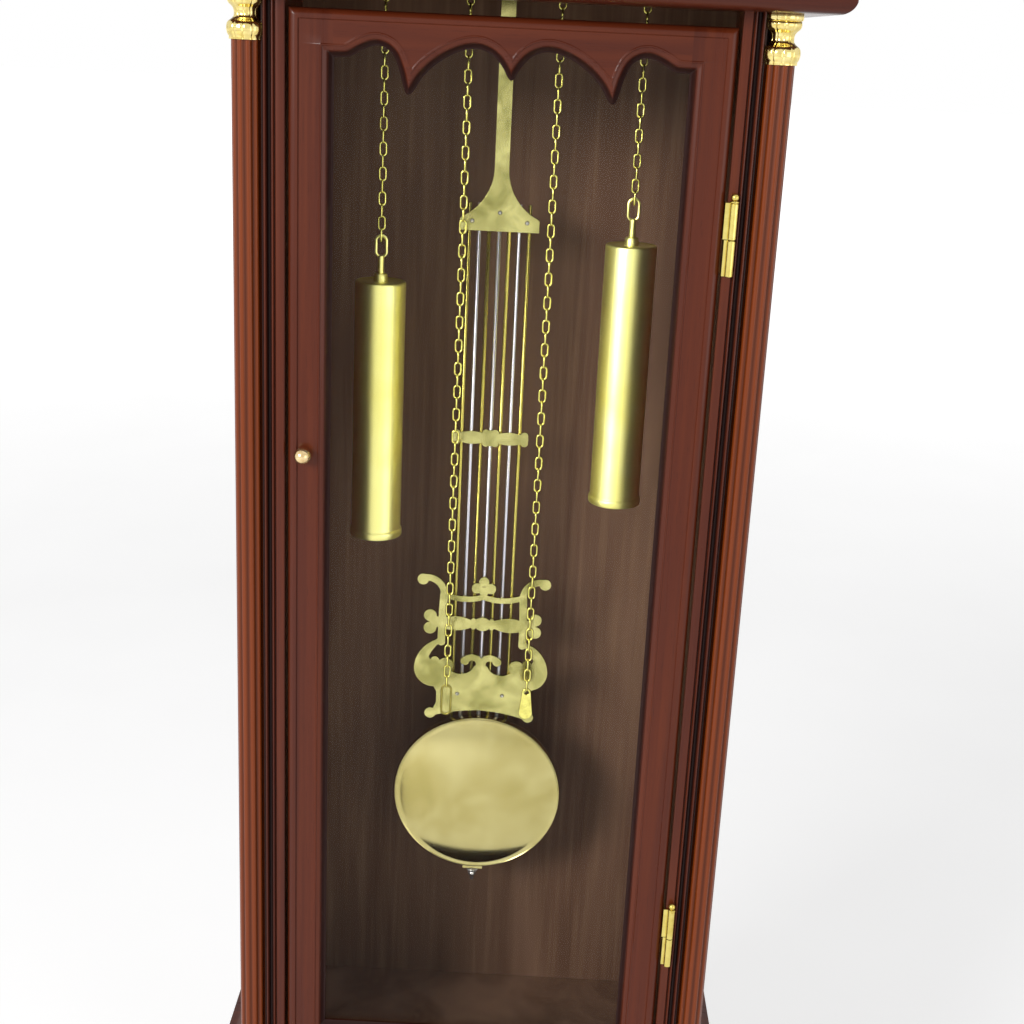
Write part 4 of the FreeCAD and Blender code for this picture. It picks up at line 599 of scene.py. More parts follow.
# The stain and painted shade in the stile's grooves start at this depth and are full after this much more,
# in mm
STILE_STAIN_AND_SHADE_FROM, STILE_STAIN_AND_SHADE_OVER = -81.6, 1.6


def stile_stain_and_shade(x, y, z):
    """The stain and painted shade in the stile's grooves, and none where the case hides it."""
    return (y - STILE_STAIN_AND_SHADE_FROM) / STILE_STAIN_AND_SHADE_OVER if y < STILE_HIDDEN else 0


def stiles():
    """The case's stiles, with their mouldings run from end to end."""
    inner, flat = STILE_FACE[0][0], STILE_FACE[-1][1]
    for node, way in (("stile_right", 1), ("stile_left", -1)):
        low, high = box_of(node)
        outer = max(abs(low[0]), abs(high[0]))
        plan = STILE_FACE + [(outer, flat), (outer, STILE_BACK), (inner, STILE_BACK)]
        maker = looped([[(way * x, y, z) for x, y in plan] for z in (low[2], high[2])])
        name = "moulded_" + node
        mesh = stained_and_shaded(made(maker, name), stile_stain_and_shade)
        shown(name, mesh, WOOD["Z"], "root", [node], "stained_wood", sharp=40)


# Each pair of columns: its piece and nodes, its axis from the middle and radius in mm, and its body
TRUNK_COLUMN = (208, -71)
HOOD_COLUMN = (189.75, -90.8)
COLUMNS = (("trunk_columns", ("column_right", "column_left"), TRUNK_COLUMN, 12, "root"),
           ("hood_columns_reeded", ("hood_columns",), HOOD_COLUMN, 9, "hood"))
COLUMN_STEPS = 160
REEDS = 10
# How deep a groove goes as a share of the radius, and how sharply it falls from the reed's top
GROOVE_SHARE, GROOVE_CURVE = 0.12, 1.5
# How dark the stain and painted shade are at the foot of a groove, and over which share of the radius they
# fade
GROOVE_STAIN_AND_SHADE, FADING_SHARE = 0.62, 0.1


def reeded(angle, along):
    """Round reeds with soft grooves between them."""
    return 1 - GROOVE_SHARE * (0.5 - 0.5 * math.cos(angle * REEDS)) ** GROOVE_CURVE


def columns():
    """The reeded round columns beside the trunk and the smaller ones of the hood."""
    for name, nodes, (aside, forward), radius, body in COLUMNS:
        low, high = box_of(nodes[0])
        profile = [(0, low[2]), (radius, low[2]), (radius, high[2]), (0, high[2])]
        pair = [made(turned(profile, (way * aside, forward, 0), "Z", COLUMN_STEPS, reeded), "column")
                for way in (-1, 1)]

        def groove_stain_and_shade(x, y, z):
            """The stain and painted shade in the grooves, fading towards the reeds' tops."""
            out = math.hypot(abs(x) - aside, y - forward) / radius - (1 - GROOVE_SHARE)
            return GROOVE_STAIN_AND_SHADE * (1 - out / FADING_SHARE)

        mesh = stained_and_shaded(joined(name, pair), groove_stain_and_shade)
        shown(name, mesh, REEDED_WOOD, body, nodes, "stained_wood", sharp=40)


# Half of the scalloped edge of the door's top rail: (share of the half sight, height in mm)
SCALLOP = [(0.0, -11.6), (0.02, -9.5), (0.045, -3.0), (0.085, 4.0), (0.13, 8.5), (0.19, 11.0),
           (0.26, 10.0), (0.35, 5.0), (0.44, -3.5), (0.505, -13.0), (0.54, -21.0), (0.56, -24.6),
           (0.577, -25.8), (0.594, -24.4), (0.61, -18.5), (0.632, -7.5), (0.665, 3.0), (0.71, 8.5),
           (0.77, 10.0), (0.84, 6.5), (0.895, 2.0), (0.93, 0.4), (1.0, 0.0)]
SCALLOP_STEPS = 5
# The door in mm: its outer edges, the opening that shows the case, and the rebate that holds the glass
DOOR_HALF, DOOR_FOOT, DOOR_TOP = 174, 464, 1419
SIGHT_HALF, SIGHT_FOOT, RAIL_EDGE = 139, 499, 1383
GLASS_HALF, GLASS_FOOT, GLASS_TOP = 147, 491, 1401
DOOR_BACK, GLASS_FACE = -63, -71
# Above this height the scallops are the nearest edge of the sight. The stile's mesh steps back into the
# rebate over this much, in mm.
SCALLOPS_ABOVE = 991
REBATE_STEP = 0.001
# How far forward the frame stands in mm, by the way in from its outer edge and out from the sight
OUTER_MOULD = np.array([(0, -77), (0.4, -79.2), (1, -80.5), (2, -81.6), (3.4, -82.4), (4.8, -82.9),
                        (6, -83), (7.6, -83), (8.2, -82.5), (8.6, -81.5)]).T
INNER_MOULD = np.array([(0, -73), (0.8, -73.6), (2, -75), (3.2, -76.8), (4.2, -78.6), (5.2, -79.8),
                        (6.4, -80.5), (7.6, -80.8), (8.2, -81.2), (8.7, -81.9), (9.4, -82),
                        (10, -81.5)]).T
# The top rail's mesh: rows from its moulding down to its edge, closer at the moulding, and its columns
RAIL_ROWS, ROW_CURVE = 56, 0.9
RAIL_STEPS = 321
# The stain and painted shade in the door's mouldings start at this depth and are full after this much more,
# in mm
MOULD_STAIN_AND_SHADE_FROM, MOULD_STAIN_AND_SHADE_OVER = -79.6, 2
# How dark the painted shade and stain lie in the glass rebate
REBATE_STAIN_AND_SHADE = 0.4


def door_stain_and_shade(x, y, z):
    """Stain and painted shade deep in the inner moulding, along the outer arris and, paler, in the rebate.
    """
    if y < GLASS_FACE - 1:
        return (y - MOULD_STAIN_AND_SHADE_FROM) / MOULD_STAIN_AND_SHADE_OVER
    return REBATE_STAIN_AND_SHADE if y < GLASS_FACE + 1 else 0


def scalloped_edge():
    """The top rail's lower edge from left to right, in mm."""
    right = flowing([(share * SIGHT_HALF, RAIL_EDGE + rise) for share, rise in SCALLOP], SCALLOP_STEPS)
    return np.array([(-x, z) for x, z in right[:0:-1]] + right)


def frame_front(edge):
    """A function that says how far forward the door's frame stands at a place."""
    starts, runs = edge[:-1], np.diff(edge, axis=0)
    sizes = (runs ** 2).sum(axis=1)

    def forward(x, z):
        """The depth of the front in mm, from the nearer of the two mouldings."""
        rim = min(DOOR_HALF - abs(x), DOOR_TOP - z, z - DOOR_FOOT)
        if rim < OUTER_MOULD[0][-1]:
            return float(np.interp(rim, *OUTER_MOULD))
        if z > SCALLOPS_ABOVE and abs(x) < SIGHT_HALF:
            share = np.clip((((x, z) - starts) * runs).sum(axis=1) / sizes, 0, 1)
            away = np.hypot(*((x, z) - starts - runs * share[:, None]).T).min()
        else:
            away = max(abs(x) - SIGHT_HALF, z - RAIL_EDGE, SIGHT_FOOT - z)
        return float(np.interp(away, *INNER_MOULD))

    return forward


def door_piece(name, rings, grain, node):
    """One piece of the door's frame, from its rings to the scene."""
    mesh = stained_and_shaded(made(looped(rings), name), door_stain_and_shade)
    shown(name, mesh, WOOD[grain], "trunk_door", [node], "stained_wood", sharp=34)


def door_frame():
    """The door's frame: stiles and rails whose mouldings meet at the corners, the top rail's inner
    moulding following its scallops."""
    curve = scalloped_edge()
    forward = frame_front(curve)
    outer, inner = OUTER_MOULD[0], INNER_MOULD[0]
    foot_rows = [DOOR_FOOT + way for way in outer] + [SIGHT_FOOT - way for way in inner[::-1]]

    # The stiles run the whole height, rebated for the glass at the back
    across = [SIGHT_HALF + way for way in inner] + [DOOR_HALF - way for way in outer[::-1]]
    heights = foot_rows + [GLASS_FOOT - REBATE_STEP, GLASS_FOOT, GLASS_TOP, GLASS_TOP + REBATE_STEP]
    heights += [RAIL_EDGE + way for way in inner] + [DOOR_TOP - way for way in outer]
    for side, way in (("right", 1), ("left", -1)):
        rings = []
        for z in sorted(heights):
            glazed = GLASS_FOOT <= z <= GLASS_TOP
            back = [(DOOR_HALF, DOOR_BACK), (GLASS_HALF, DOOR_BACK),
                    (GLASS_HALF, GLASS_FACE) if glazed else (SIGHT_HALF, DOOR_BACK),
                    (SIGHT_HALF, GLASS_FACE)]
            rings.append([(way * x, y, z) for x, y in [(x, forward(x, z)) for x in across] + back])
        door_piece("moulded_door_stile_" + side, rings, "Z", "door_stile_" + side)

    # The bottom rail keeps one profile from stile to stile
    back = [(GLASS_FACE, SIGHT_FOOT), (GLASS_FACE, GLASS_FOOT), (DOOR_BACK, GLASS_FOOT),
            (DOOR_BACK, DOOR_FOOT)]
    line = [(forward(0, z), z) for z in foot_rows] + back
    rings = [[(x, y, z) for y, z in line] for x in (-SIGHT_HALF, SIGHT_HALF)]
    door_piece("moulded_bottom_rail", rings, "X", "door_bottom_rail")

    # The top rail's profile changes all along, with the height of its scallops
    crown = DOOR_TOP - outer[-1]
    rings = []
    for x in np.linspace(-SIGHT_HALF, SIGHT_HALF, RAIL_STEPS):
        edge = float(np.interp(x, *curve.T))
        rows = [DOOR_TOP - way for way in outer]
        rows += [crown + (edge - crown) * (step / RAIL_ROWS) ** ROW_CURVE
                 for step in range(1, RAIL_ROWS + 1)]
        line = [(forward(x, z), z) for z in rows]
        line += [(GLASS_FACE, edge), (GLASS_FACE, GLASS_TOP), (DOOR_BACK, GLASS_TOP), (DOOR_BACK, DOOR_TOP)]
        rings.append([(x, y, z) for y, z in line])
    door_piece("scalloped_top_rail", rings, "X", "door_top_rail")


# A capital from the plate at its end to the ring that holds the column: (share of radius, of height)
CAPITAL = [(0, 0), (0.98, 0), (1.0, 0.02), (1.0, 0.11), (0.97, 0.135), (0.9, 0.145), (0.93, 0.16),
           (0.95, 0.2), (0.93, 0.27), (0.86, 0.31), (0.74, 0.35), (0.66, 0.39), (0.62, 0.44), (0.61, 0.5),
           (0.63, 0.55), (0.7, 0.59), (0.8, 0.62), (0.9, 0.65), (0.97, 0.69), (1.0, 0.75), (1.0, 0.82),
           (0.97, 0.88), (0.92, 0.92), (0.88, 0.94), (0.88, 1.0), (0, 1.0)]
# Each set: its piece, node and body, its columns' axis, and the radius, head and foot in mm
CAPITAL_SETS = (("trunk_capitals", "trunk_column_caps", "root", TRUNK_COLUMN, 15.5, 38, 30),
                ("hood_capitals", "hood_column_caps", "hood", HOOD_COLUMN, 11.5, 24, 24))
CAPITAL_STEPS = 96
NICKS = 12
# How deep a nick goes as a share of the radius, and how narrow it is against the space between two
NICK_SHARE, NICK_NARROWNESS = 0.05, 12


def nicked(angle, along):
    """Narrow upright cuts all round."""
    return 1 - NICK_SHARE * max(0.0, math.cos(angle * NICKS)) ** NICK_NARROWNESS


def capitals():
    """Cast capitals and feet of the columns, their tiers and flared ring nicked all round."""
    for name, node, body, (aside, forward), radius, head, foot in CAPITAL_SETS:
        low, high = box_of(node)
        parts = []
        for way in (-1, 1):
            for end, height in ((high[2], -head), (low[2], foot)):
                profile = [(out * radius, along * height) for out, along in CAPITAL]
                place = (way * aside, forward, end)
                parts.append(made(turned(profile, place, "Z", CAPITAL_STEPS, nicked), "capital"))
        shown(name, joined(name, parts), CAPITAL_BRASS, body, [node], "polished_brass", sharp=50)


# The trunk door's hinges in mm: their pins, and each set of leaves with its body, the side that lies in
# the wood, where its knuckle starts against the hinge's middle, and whether it carries the pin
HINGE_HEIGHTS = (617, 1258)
HINGE_AXIS = (181, -86.7)
HINGE_LEAVES = (("hinge_case_leaves", "root", 175.3, -29, True),
                ("hinge_door_leaves", "trunk_door", 174, 0.3, False))
KNUCKLE = [(0, 0), (3, 0), (3.4, 0.5), (3.4, 28.2), (3, 28.7), (0, 28.7)]
KNUCKLE_STEPS = 32
PIN_COLLAR = [(0, 29.1), (3.3, 29.1), (3.7, 29.6), (3.7, 30.3), (3.1, 30.9), (0, 30.9)]
PIN_BALL_RADIUS, PIN_BALL_HEIGHT, PIN_NECK = 3.2, 33.6, 1.9
# How far under the ball's middle its neck starts as a share of the radius, and the rows of the ball
NECK_SHARE = 1.3
BALL_STEPS = 12
# A leaf lies in the wood, and its lip reaches forward of it to the knuckle
LEAF_THICKNESS = 0.9
LEAF_FRONT, LEAF_BACK = -84.6, -66
LIP_FRONT, LIP_BACK, LIP_END = -84.9, -84, 180.4


def ball(radius, centre, neck):
    """Profile of a ball on a neck, from the neck's end up."""
    points = [(0, centre - radius * NECK_SHARE), (neck, centre - radius * NECK_SHARE)]
    start = math.asin(neck / radius)
    for step in range(BALL_STEPS + 1):
        angle = start + (math.pi - start) * step / BALL_STEPS
        points.append((max(radius * math.sin(angle), 0.0), centre - radius * math.cos(angle)))
    return points


def hinges():
    """Slim butt hinges: two knuckles round a pin with a ball on its top, and leaves let into the edges
    of the door and the stile, so only their rims show."""
    for node, body, inner, start, pinned in HINGE_LEAVES:
        knuckle = [(out, start + along) for out, along in KNUCKLE]
        turnings = [knuckle]
        if pinned:
            turnings += [PIN_COLLAR, ball(PIN_BALL_RADIUS, PIN_BALL_HEIGHT, PIN_NECK)]
        plans = [[(inner, LEAF_FRONT), (inner + LEAF_THICKNESS, LEAF_FRONT),
                  (inner + LEAF_THICKNESS, LEAF_BACK), (inner, LEAF_BACK)],
                 [(inner, LIP_FRONT), (LIP_END, LIP_FRONT), (LIP_END, LIP_BACK), (inner, LIP_BACK)]]
        parts = []
        for height in HINGE_HEIGHTS:
            ends = (height + start, height + knuckle[-1][1])
            for profile in turnings:
                parts.append(made(turned(profile, (*HINGE_AXIS, height), "Z", KNUCKLE_STEPS), "knuckle"))
            for plan in plans:
                parts.append(made(looped([[(x, y, z) for x, y in plan] for z in ends]), "leaf"))
        name = node + "_slim"
        shown(name, joined(name, parts), HINGE_BRASS, body, [node], "polished_brass")


# Each knob: its node, body and piece, the middle of its foot, and its radius and length, in mm
KNOBS = (("door_knob", "trunk_door", "round_knob", (-160, -81.5, 1063), 7.2, 15),
         ("hood_door_knob", "hood_door", "hood_round_knob", (-145, -97.9, 1627), 6.0, 14))
# The knob's foot and neck: (share of radius, mm along)
KNOB_FOOT = [(0, 0), (0.6, 0), (0.62, 0.6), (0.5, 1.3)]
NECK_ANGLE = 0.45
KNOB_ROWS, KNOB_STEPS = 15, 48


def knobs():
    """A small ball knob on a short neck, on the trunk door and on the hood door."""
    for node, body, name, centre, radius, length in KNOBS:
        profile = [(share * radius, -along) for share, along in KNOB_FOOT]
        for step in range(KNOB_ROWS + 1):
            angle = NECK_ANGLE + (math.pi - NECK_ANGLE) * step / KNOB_ROWS
            along = length - radius - radius * math.cos(angle)
            profile.append((max(radius * math.sin(angle), 0.0), -along))
        mesh = made(turned(profile, centre, "Y", KNOB_STEPS), name)
        shown(name, mesh, KNOB_BRASS, body, [node], "polished_brass", sharp=40)


# A weight from its flat foot to the stud of its hook (radius, height), and where each one hangs, in mm
WEIGHT_TUBE = [(0, 0), (2.2, 0), (3.4, 1), (3.5, 4.6), (4.2, 5), (22.0, 5), (23.1, 5.5), (23.6, 6.6),
               (23.6, 10.6), (23.2, 11.6), (22.5, 12.2), (22.3, 13), (22.3, 235.6), (22.1, 236.6),
               (21.4, 237.4), (20.4, 237.7), (19.8, 237.2), (19, 237), (6.2, 237), (6, 238.2), (6, 242.6),
               (5.2, 243.8), (2.8, 244.2), (2.8, 259), (0, 260)]
WEIGHTS = (("left", -108, 959.1), ("right", 108, 1000.7))
WEIGHT_STEPS = 96
CHAIN_DEPTH = 12
EYE_HEIGHT = 267.4
EYE_SIZE = {"Length": 21 * MM, "Width": 12 * MM, "Wire": 2.6 * MM}
UPRIGHT = (0, 0, 0)


def weights():
    """Each weight: a rolled tube with rounded rims, a flat cap, and a hook of thick wire on a stud."""
    for side, x, low in WEIGHTS:
        tube = made(turned(WEIGHT_TUBE, (x, CHAIN_DEPTH, low), "Z", WEIGHT_STEPS), side + "_tube")
        hook = [((x, CHAIN_DEPTH, low + EYE_HEIGHT), UPRIGHT, 1.0)]
        eye = grown(side + "_eye", LINKS, hook, WEIGHT_BRASS, **EYE_SIZE)
        name = side + "_weight_shell"
        shown(name, joined(name, [tube, eye]), WEIGHT_BRASS, side + "_weight", [side + "_weight"],
              "polished_brass", sharp=40)


# The chains in mm: the links, the wheels that they hang from (aside, back, up), and for each side its
# links down to the weight, how far its free end can go down, and the brass of that end
PITCH = 10.4
LINK = 13.5
LINK_SIZE = {"Length": LINK * MM, "Width": 7.6 * MM, "Wire": 1.9 * MM}
NESTED_SIZE = 0.97
WHEEL = (73, CHAIN_DEPTH, 1638)
WHEEL_RADIUS = 35
WHEEL_LINKS = 11
CHAIN_SIDES = (("left", -1, 39, 250, DULL_BRASS), ("right", 1, 35, 220, CHAIN_BRASS))
FREE_LINKS = 79
WEIGHT_FALL = 450
CHAIN_END_EDGE = 0.7 * MM


def strand(name, node, body, x, count, longest):
    """One hanging side of a chain. Every link moves whole. Spare links lie inside others at rest and
    come out when the strand lengthens."""
    spare = round(longest / PITCH)
    points, ways, used = [], [], set()
    # A link rests where one with the same quarter turn hangs, nearest to its own share of the strand
    for index in range(count + spare):
        side = index % 2
        rest = min(2 * round((index * count / (count + spare) - side) / 2) + side, count - 1)
        rest -= (rest - side) % 2
        place = (x, WHEEL[1], WHEEL[2] - LINK / 2 - rest * PITCH)
        turn = (0, 0, 0 if side else math.radians(90))
        points.append((place, turn, NESTED_SIZE if rest in used else 1.0))
        used.add(rest)
        ways.append((index - rest) / spare)
    mesh = grown(name, LINKS, points, CHAIN_BRASS, **LINK_SIZE)
    mesh.polygons.foreach_set("use_smooth", [True] * len(mesh.polygons))
    piece = bpy.data.objects.new(name, mesh)
    bpy.context.scene.collection.objects.link(piece)
    x, y, top = x * MM, WHEEL[1] * MM, WHEEL[2] * MM
    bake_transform(piece, "root", body, (x, y, top), (x, y, top - count * PITCH * MM))
    each = len(mesh.vertices) // len(points)
    mesh.attributes["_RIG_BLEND"].data.foreach_set("value", np.repeat(np.clip(ways, 0, 1), each))
    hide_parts(node)


def links_over_wheel(side, way):
    """The links that lie in a chain wheel's groove, turned a quarter by turns."""
    overlap = LINK / 2 / WHEEL_RADIUS
    points = []
    for index in range(1, WHEEL_LINKS + 1):
        angle = -overlap + (math.pi + 2 * overlap) * index / (WHEEL_LINKS + 1)
        quarter = Matrix.Rotation(math.radians(90 * (index + 1)), 4, "Z")
        turn = (Matrix.Rotation(-angle, 4, "Y") @ quarter).to_euler()
        place = (way * WHEEL[0] + WHEEL_RADIUS * math.cos(angle), WHEEL[1],
                 WHEEL[2] + WHEEL_RADIUS * math.sin(angle))
        points.append((place, turn, 1.0))
    name = side + "_links_over_wheel"
    mesh = grown(name, LINKS, points, CHAIN_BRASS, **LINK_SIZE)
    shown(name, mesh, None, "root", (), "polished_brass", sharp=180)


def chains():
    """Four hanging strands, the links over each chain wheel, and the ends of the free sides."""
    for side, way, count, free_fall, end_brass in CHAIN_SIDES:
        strand(side + "_weight_strand", side + "_chain_weight_side", side + "_weight",
               way * (WHEEL[0] + WHEEL_RADIUS), count, WEIGHT_FALL)
        strand(side + "_free_strand", side + "_chain_free_side", side + "_chain",
               way * (WHEEL[0] - WHEEL_RADIUS), FREE_LINKS, free_fall)
        links_over_wheel(side, way)
        soften(side + "_chain_end", end_brass, CHAIN_END_EDGE, "polished_brass")


# The bob in mm: the middle of its disc, the dish of its face (front, depth, radius and how late it
# curves), the rows of the face, its rim (radius, depth), and the cleat behind it
BOB_CENTRE = (-6, 0, 683.5)
DISH_FRONT, DISH_DEPTH, DISH_RADIUS, DISH_CURVE = 42.3, 6.4, 80, 2.6
DISH_ROWS = (0, 8, 16, 26, 36, 46, 55, 63, 70, 76, DISH_RADIUS)
BOB_RIM = [(80.6, 48.5), (81.2, 48.1), (81.9, 48.2), (82.4, 48.8), (82.5, 49.8), (82.5, 57), (82, 58),
           (81, 58.2), (0, 58.2)]
BOB_STEPS = 144
CLEAT = [(-17.5, 593), (2.5, 593), (2.5, 623), (-17.5, 623)]
CLEAT_FRONT, CLEAT_BACK = 58.2, 66.7
# The rating nut in mm: its axis, its profile (radius, height) and the knurling of its upper ring
NUT_AXIS = (-7.5, 60.6, 0)
NUT = [(0, 583.3), (1.6, 583.5), (3, 584.2), (3.9, 585.4), (4.2, 586.8), (3.9, 588.2), (3, 589.3),
       (2.5, 589.9), (5.4, 590.2), (5.6, 590.6), (5.6, 591.9), (5.2, 592.5), (0, 592.6)]
NUT_STEPS = 96
KNURLS, KNURL_SHARE, KNURLED_ABOVE = 24, 0.05, 590


def knurled(angle, along):
    """Upright cuts round the nut's upper ring."""
    return 1 - KNURL_SHARE if along > KNURLED_ABOVE and math.cos(angle * KNURLS) > 0 else 1


def bob():
    """A slightly dished mirror disc with a thin bright rim, the cleat that grips the rod, and the nut
    that sets its height."""
    face = [(out, DISH_FRONT + DISH_DEPTH * (out / DISH_RADIUS) ** DISH_CURVE) for out in DISH_ROWS]
    disc = made(turned(face + BOB_RIM, BOB_CENTRE, "Y", BOB_STEPS), "disc")
    maker = bmesh.new()
    prism(maker, CLEAT, CLEAT_FRONT, CLEAT_BACK)
    mesh = joined("dished_bob", [disc, made(maker, "cleat")])
    shown("dished_bob", mesh, BOB_BRASS, "bob", ["pendulum_bob"], "polished_brass", sharp=30)
    mesh = made(turned(NUT, NUT_AXIS, "Z", NUT_STEPS, knurled), "knurled_nut")
    shown("knurled_nut", mesh, SCREW_STEEL, "rating_nut", ["rating_nut"], "polished_brass", sharp=30)


# Where the rods of each metal stand, and how far a rod's points lie from there at most, in mm
ROD_PLACES = {"brass": (-36, -18, 0, 18), "steel": (-27, -8.7, 9)}
ROD_REACH = 3


def rods():
    """The gridiron: brass and steel rods by turns, each split off from the node's own shape."""
    for metal, material in (("brass", ROD_BRASS), ("steel", ROD_STEEL)):
        maker = bmesh.new()
        maker.from_mesh(frame["nodes"]["pendulum_rods"].data)
        far = [vert for vert in maker.verts
               if min(abs(vert.co.x / MM - x) for x in ROD_PLACES[metal]) > ROD_REACH]
        bmesh.ops.delete(maker, geom=far, context="VERTS")
        name = "gridiron_%s_rods" % metal
        replaced = ["pendulum_rods"] if metal == "brass" else []
        shown(name, made(maker, name), material, "pendulum", replaced, "rod_brass")


# Flat metal plates, each with its finish, its slot and how far its edges are eased
PLATES = (("pendulum_stem", PLATE_BRASS, "polished_brass", 0.3 * MM),
          ("pendulum_clip", PLATE_BRASS, "polished_brass", 0.3 * MM),
          ("pendulum_lyre", PLATE_BRASS, "polished_brass", 0.3 * MM),
          ("movement_frame", PLATE_BRASS, "polished_brass", 0.3 * MM),
          ("dial_plate", DIAL_BRASS, "dial_brass", 0.3 * MM),
          ("suspension_cock", PLATE_BRASS, "polished_brass", 0.3 * MM),
          ("hour_hand", BLUED_STEEL, "blued_steel", 0.25 * MM),
          ("minute_hand", BLUED_STEEL, "blued_steel", 0.25 * MM))
FACING = (math.radians(90), 0, 0)
# Small heads on the plates in mm: where they sit (aside, up), how far back, and their sizes
RIVETS = ((-32, 1247), (17, 1247), (-7.5, 1255), (-29.5, 788), (14.5, 788))
RIVET_DEPTH = 55.5
RIVET_SIZE = {"Radius": 2 * MM, "Height": 1.2 * MM}
PILLARS = [(x, z) for x in (-82, 82) for z in (1572, 1683)]
PILLAR_DEPTH = -45.2
PILLAR_SCREW_SIZE = {"Radius": 4 * MM, "Height": 1.6 * MM}


def heads(name, places, depth, size, body):
    """Round heads that face forward."""
    points = [((x, depth, z), FACING, 1.0) for x, z in places]
    shown(name, grown(name, HEADS, points, SCREW_STEEL, **size), None, body, (), "bright_steel")


def plates():
    """Flat plates with eased edges, and the small rivets and screws that hold them."""
    for node, material, slot, edge in PLATES:
        soften(node, material, edge, slot)
    heads("pendulum_rivets", RIVETS, RIVET_DEPTH, RIVET_SIZE, "pendulum")
    heads("pillar_screws", PILLARS, PILLAR_DEPTH, PILLAR_SCREW_SIZE, "root")


NUMERALS = ("XII", "I", "II", "III", "IIII", "V", "VI", "VII", "VIII", "IX", "X", "XI")
# The strokes of each letter: where the top and the foot stand in shares of its width, and its weight
STROKES = {"I": ((0, 0, 1),), "V": ((-0.5, 0, 1), (0.5, 0, 0.4)), "X": ((-0.5, 0.5, 1), (0.5, -0.5, 0.4))}
# The figures in mm: a letter's width, half a stroke's, the room that strokes and serifs leave in a
# letter, the serif's thickness, the rings that the figures stand between, and their depths
LETTER_WIDTH = {"I": 4.2, "V": 10.6, "X": 10.6}
STROKE_HALF = 1.35
STROKE_ROOM, SERIF_ROOM = 2.6, 0.2
SERIF = 0.7
FIGURE_FOOT, FIGURE_TOP = 91, 110
DIAL_HEIGHT = 1627
FIGURE_FRONT, FIGURE_BACK = -68.5, -68.1
BAR_STEP = 0.02
# Where the minute marks lie in mm, their sizes, and how far the chapter ring's edge is eased
MARKS_DEPTH = -68.3
MARK_SIZE = {"Radius": 114 * MM, "Length": 4 * MM, "Width": 0.8 * MM}
RING_EDGE = 0.4 * MM


def letter_bars(letter, middle):
    """The strokes and serifs of one letter, each as the corners of a bar (aside, out), in mm."""
    width = LETTER_WIDTH[letter]
    bars = []
    for top, foot, weight in STROKES[letter]:
        half = STROKE_HALF * weight
        high, low = middle + top * (width - STROKE_ROOM), middle + foot * (width - STROKE_ROOM)
        bars.append([(low - half, FIGURE_FOOT), (low + half, FIGURE_FOOT), (high + half, FIGURE_TOP),
                     (high - half, FIGURE_TOP)])
    reach = width / 2 - SERIF_ROOM
    for out in (FIGURE_FOOT, FIGURE_TOP - SERIF):
        if letter != "V" or out > FIGURE_FOOT:
            bars.append([(middle - reach, out), (middle + reach, out), (middle + reach, out + SERIF),
                         (middle - reach, out + SERIF)])
    return bars


def numerals():
    """Roman figures round the ring, each of straight strokes with a serif at both ends. A letter's
    bars end at slightly different depths, so no two faces lie in one plane."""
    maker = bmesh.new()
    for hour, numeral in enumerate(NUMERALS):
        angle = 2 * math.pi * hour / 12
        along = -sum(LETTER_WIDTH[letter] for letter in numeral) / 2
        for letter in numeral:
            width = LETTER_WIDTH[letter]
            for index, bar in enumerate(letter_bars(letter, along + width / 2)):
                corners = [(x * math.cos(angle) + out * math.sin(angle),
                            DIAL_HEIGHT - x * math.sin(angle) + out * math.cos(angle)) for x, out in bar]
                prism(maker, corners, FIGURE_FRONT - index * BAR_STEP, FIGURE_BACK)
            along += width
    mesh = bpy.data.meshes.new("ring_figures")
    bmesh.ops.recalc_face_normals(maker, faces=maker.faces)
    maker.to_mesh(mesh)
    maker.free()
    shown("ring_figures", mesh, WAX, "root", (), "blued_steel")


def dial():
    """The figures and the minute marks on the ring, and the ring's own eased edge."""
    soften("chapter_ring", SILVERED, RING_EDGE, "silvered_ring")
    numerals()
    centre = [((0, MARKS_DEPTH, DIAL_HEIGHT), UPRIGHT, 1.0)]
    marks = grown("minute_marks", MARKS, centre, WAX, **MARK_SIZE)
    shown("minute_marks", marks, None, "root", (), "blued_steel")


# Pieces whose own shape shows as it is, by the finish of the real one
PLAIN = {GLASS: ("door_glass", "hood_door_glass"),
         SCREW_STEEL: ("pallets_and_crutch", "gong_rods"),
         DULL_BRASS: ("hood_door_pins",),
         CHAIN_BRASS: ("left_chain_wheel", "right_chain_wheel", "escape_wheel")}


def dressed():
    """Give the plain pieces their finish."""
    for material, names in PLAIN.items():
        for name in names:
            mesh = frame["nodes"][name].data
            mesh.materials.clear()
            mesh.materials.append(material)


# The surround: how bright it lights the clock and how bright it looks, and the floor, whose own light
# grows from the clock's foot to far away (m), so that it ends without a line
LIGHT_LEVEL, SEEN_LEVEL = 0.52, 1.0
FLOOR_REACH = 40.0
NEAR, FAR = 2.5, 9.0
NEAR_GLOW, FAR_GLOW = 0.38, 0.75
WHITE = colour("#ffffff")
# Each lamp: its name, its place and size in m, and its power in W. Both face the middle of the clock.
LAMPS = (("key_lamp", (-2.2, -2.9, 2.3), 1.2, 84), ("fill_lamp", (2.6, -2.4, 1.2), 1.8, 14))
LIT_PLACE = (0, 0, 1.0)


def seen_background(tree):
    """1 for the rays that show the surround, to the eye, in metal and through glass, and 0 for light."""
    path = add(tree, "ShaderNodeLightPath").outputs
    seen = add(tree, "ShaderNodeMath", {0: path["Is Camera Ray"], 1: path["Is Glossy Ray"]},
               operation="MAXIMUM").outputs[0]
    return add(tree, "ShaderNodeMath", {0: seen, 1: path["Is Transmission Ray"]},
               operation="MAXIMUM").outputs[0]


